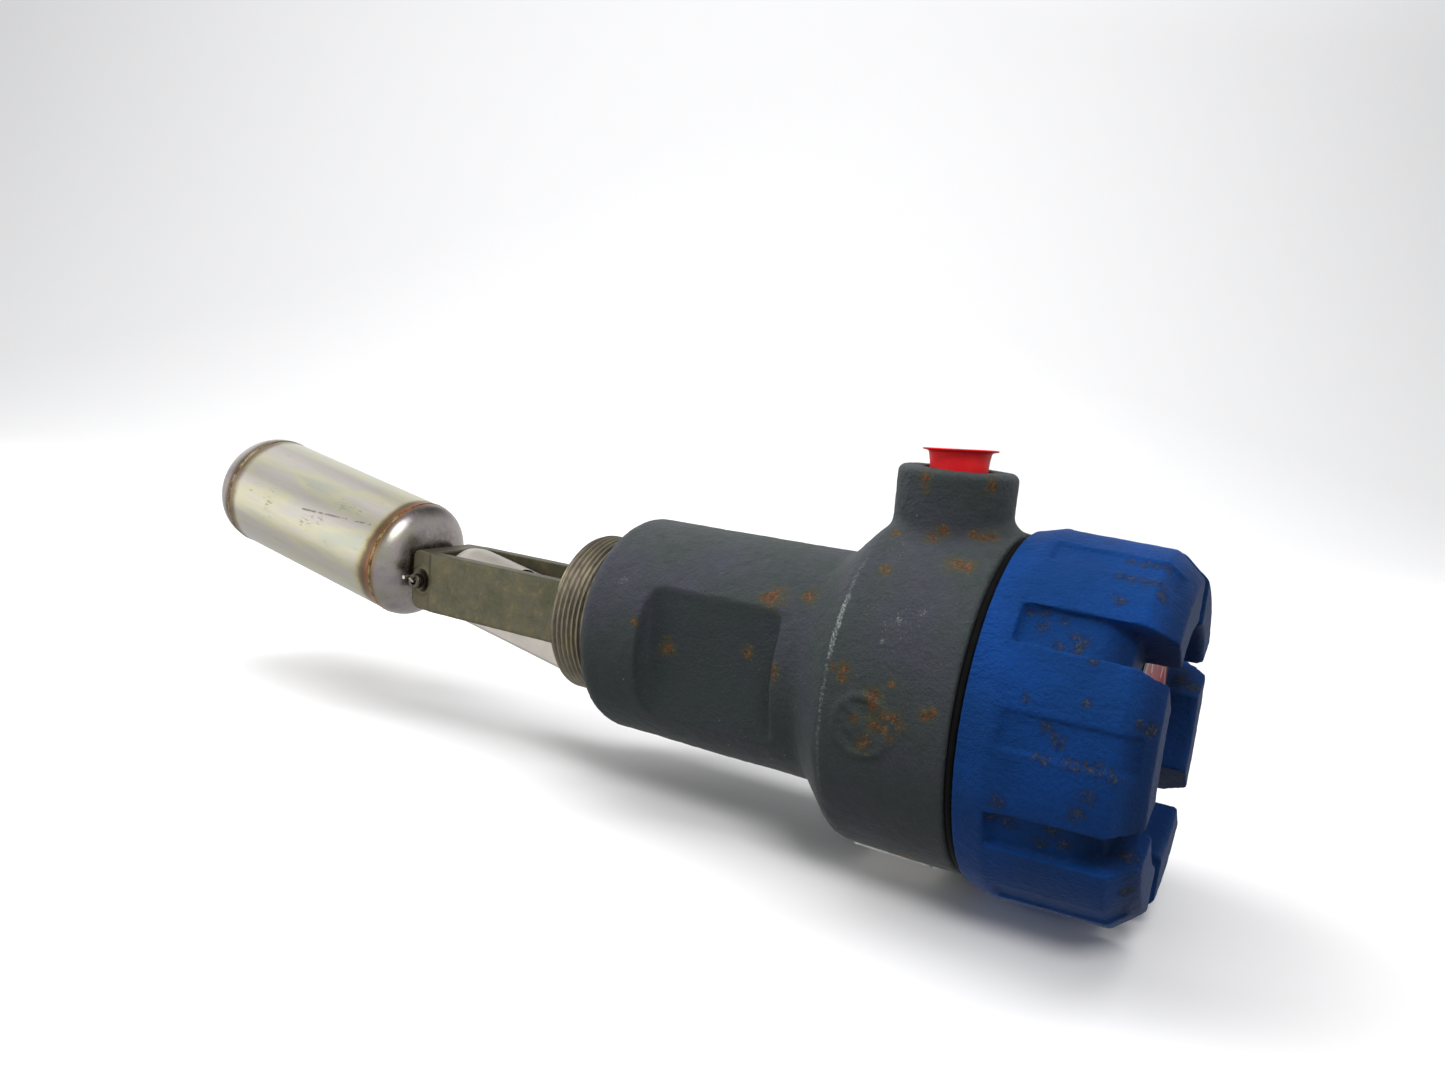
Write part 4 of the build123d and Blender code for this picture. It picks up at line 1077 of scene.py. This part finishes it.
def cap_plug():
    """A thin-walled moulded cap plug: tapered cup and thin flared rim, slightly askew."""
    askew = (Matrix.Translation((BOSS_X * MM, 0.0, BOSS_TOP * MM))
             @ Matrix.Rotation(math.radians(1.7), 4, (0.502, -0.865, 0.0))
             @ Matrix.Rotation(math.radians(-3.3), 4, (0.865, 0.502, 0.0)))

    def point(radius, height, k):
        a = 2 * math.pi * k / PLUG_STEPS
        rim = max(0.0, radius - 9.6) / 2.3  # 0 on the cup, 1 at the rim's edge, which waves
        r = radius + rim * 0.10 * math.sin(3 * a + 0.7)
        h = height + rim * 0.10 * math.sin(2 * a + 1.9)
        return tuple(askew @ Vector((r * MM * math.cos(a), r * MM * math.sin(a), h * MM)))

    rings = [[point(r, h, k) for k in range(PLUG_STEPS if r else 1)] for r, h in PLUG_PROFILE]
    mesh = ring_mesh("cap_plug", rings, PLUG_STEPS, closed=False)
    stand_in(add_object("cap_plug", mesh, MATERIALS["plug"]), "conduit_plug", "plug")


process_body()
bead("float_weld_inner", "weld_seam_inner", seam=SEAM_IN, height=0.07)
bead("float_weld_outer", "weld_seam_outer", seam=SEAM_OUT, height=0.06)
cap_plug()

# ------------------------------------------------------------- studio, in metres
AWAY = Vector((-math.sin(VIEW_AZIMUTH), math.cos(VIEW_AZIMUTH), 0.0))  # from the camera
SIDE = Vector((math.cos(VIEW_AZIMUTH), math.sin(VIEW_AZIMUTH), 0.0))
SWEEP_NEAR, SWEEP_FLAT, SWEEP_RADIUS, SWEEP_TOP, SWEEP_HALF = -2.2, 0.9, 0.9, 3.2, 3.2
SWEEP_ARC_STEPS = 24
FLOOR_GAP = 0.0004


def studio_floor():
    """A paper sweep that runs away from the camera, then curves up."""
    low_corner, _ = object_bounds()
    floor_z = low_corner.z - FLOOR_GAP
    g = Graph("studio_sweep")
    paper = g.vary(srgb(238, 238, 239), g.noise(size=60, detail=3, rough=0.5), amount=0.008)
    material = g.finish(color=paper, rough=0.95, spec=0.1)
    profile = [(SWEEP_NEAR, 0.0), (SWEEP_FLAT, 0.0)]
    for k in range(1, SWEEP_ARC_STEPS + 1):
        t = math.radians(90 * k / SWEEP_ARC_STEPS)
        profile.append((SWEEP_FLAT + SWEEP_RADIUS * math.sin(t),
                        SWEEP_RADIUS * (1 - math.cos(t))))
    profile.append((SWEEP_FLAT + SWEEP_RADIUS, SWEEP_TOP))
    vertices = []
    for s in (-SWEEP_HALF, SWEEP_HALF):
        for distance, height in profile:
            p = AWAY * distance + SIDE * s
            vertices.append((p.x, p.y, floor_z + height))
    n = len(profile)
    mesh = bpy.data.meshes.new("studio_floor")
    mesh.from_pydata(vertices, [], [(i, i + 1, n + i + 1, n + i) for i in range(n - 1)])
    mesh.update()
    shade_smooth(mesh)
    floor = add_object("studio_floor", mesh, material)
    floor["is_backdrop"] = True
    floor.visible_diffuse = False
    floor.visible_glossy = False


# height (0 straight down, 1 straight up), brightness
SKY_LIGHT = [(0, 0.40), (0.42, 0.42), (0.52, 0.42), (0.70, 0.50), (1, 0.52)]
SKY_REFLECTED = [(0, 0.60), (0.30, 0.80), (0.44, 0.92), (0.56, 0.92), (0.70, 0.82),
                 (0.86, 0.60), (1, 0.56)]
# soft patches added to reflections, or taken away: azimuth, elevation, outer and inner
# half-angle in degrees, amount
REFLECTION_GAIN = 1.32
LOBES = [(-137, 6, 34, 8, 1.10), (150, 42, 46, 12, 1.0), (-168, 54, 30, 8, 0.9),
         (-44, 47, 26, 6, 13.0), (88, 58, 46, 14, -0.95)]


def studio_world():
    """A soft gradient that lights the scene, and a brighter one that only reflections see."""
    world = bpy.data.worlds.new("studio_world")
    SCENE.world = world
    world.use_nodes = True
    t = Tree(world.node_tree)
    direction = t.node("ShaderNodeTexCoord").outputs["Generated"]
    height = t.node("ShaderNodeMapRange")
    height.inputs["From Min"].default_value = -1.0
    t.link(t.split(direction)[2], height.inputs["Value"])
    height = height.outputs[0]
    light = t.ramp(height, [(at, (v * 0.985, v * 0.992, v, 1.0)) for at, v in SKY_LIGHT])
    seen = t.ramp(height, [(at, (v, v * 0.998, v * 0.985, 1.0)) for at, v in SKY_REFLECTED])
    gain = REFLECTION_GAIN
    for *angles, amount in LOBES:
        a, e, wide, tight = map(math.radians, angles)
        centre = (math.cos(a) * math.cos(e), math.sin(a) * math.cos(e), math.sin(e))
        lobe = t.fade(t.vector("DOT_PRODUCT", direction, centre),
                      zero=math.cos(wide), one=math.cos(tight))
        gain = t.scaled(lobe, by=amount, plus=gain)
    reflected = t.vector("SCALE", seen)
    t.link(gain, reflected.node.inputs["Scale"])
    glossy = t.node("ShaderNodeLightPath").outputs["Is Glossy Ray"]
    background = world.node_tree.nodes["Background"]
    t.link(t.mix(glossy, light, reflected), background.inputs[0])
    background.inputs[1].default_value = 0.72
    world.cycles.sampling_method = "NONE"


def area(name, at, target, size, power, color=(1, 1, 1), size_y=None):
    """An area light, hidden from reflections: bare metal mirrors the world's gradient."""
    light = bpy.data.lights.new(name, "AREA")
    light.shape = "RECTANGLE" if size_y else "SQUARE"
    light.size = size
    if size_y:
        light.size_y = size_y
    light.energy = power
    light.color = color
    obj = bpy.data.objects.new(name, light)
    SCENE.collection.objects.link(obj)
    obj.location = at
    obj.rotation_euler = (Vector(target) - Vector(at)).to_track_quat("-Z", "Y").to_euler()
    obj.visible_glossy = False


studio_floor()
studio_world()
area("key_left_top", at=(-0.62, -0.02, 0.80), target=(0, 0, 0), size=0.9, size_y=1.0,
     power=6.8, color=(1.0, 0.99, 0.98))
area("left_front_softbox", at=(-0.86, -0.84, 0.22), target=(-0.08, 0, 0.02), size=0.8,
     size_y=0.6, power=2.6, color=(1.0, 0.985, 0.96))
area("front_right_top", at=(0.46, -0.52, 0.82), target=(0.06, 0, 0), size=0.36, power=4.6,
     color=(1.0, 0.995, 0.99))
area("far_fill", at=(0.2, 1.1, 0.8), target=(0.05, 0, 0), size=0.9, power=1.6)
area("backdrop_light", at=AWAY * 0.35 + Vector((0, 0, 1.9)),
     target=AWAY * 1.75 + Vector((0, 0, 0.7)), size=2.2, size_y=1.0, power=38.0)

# ------------------------------------------------------------------------- camera
CAMERA_AT = Vector((224.96949867, -329.6259437, 90.67262105)) * MM
VIEW_DROP, VIEW_ROLL = math.radians(8.2876), math.radians(-5.2290)
SENSOR_WIDTH, FOCAL_LENGTH = 36.0, 26.684097


def photo_camera():
    forward = AWAY * math.cos(VIEW_DROP) - Vector((0, 0, math.sin(VIEW_DROP)))
    level = forward.cross(Vector((0, 0, 1))).normalized()
    right = math.cos(VIEW_ROLL) * level + math.sin(VIEW_ROLL) * forward.cross(level)
    down = forward.cross(right)
    data = bpy.data.cameras.new("photo_camera")
    data.sensor_fit = "HORIZONTAL"
    data.sensor_width = SENSOR_WIDTH
    data.lens = FOCAL_LENGTH
    data.clip_start = 0.01
    camera = bpy.data.objects.new("photo_camera", data)
    SCENE.collection.objects.link(camera)
    turn = Matrix((right, -down, -forward)).transposed()
    camera.matrix_world = Matrix.Translation(CAMERA_AT) @ turn.to_4x4()
    SCENE.camera = camera


photo_camera()
SCENE.view_settings.view_transform = "Standard"
SCENE.view_settings.look = "None"
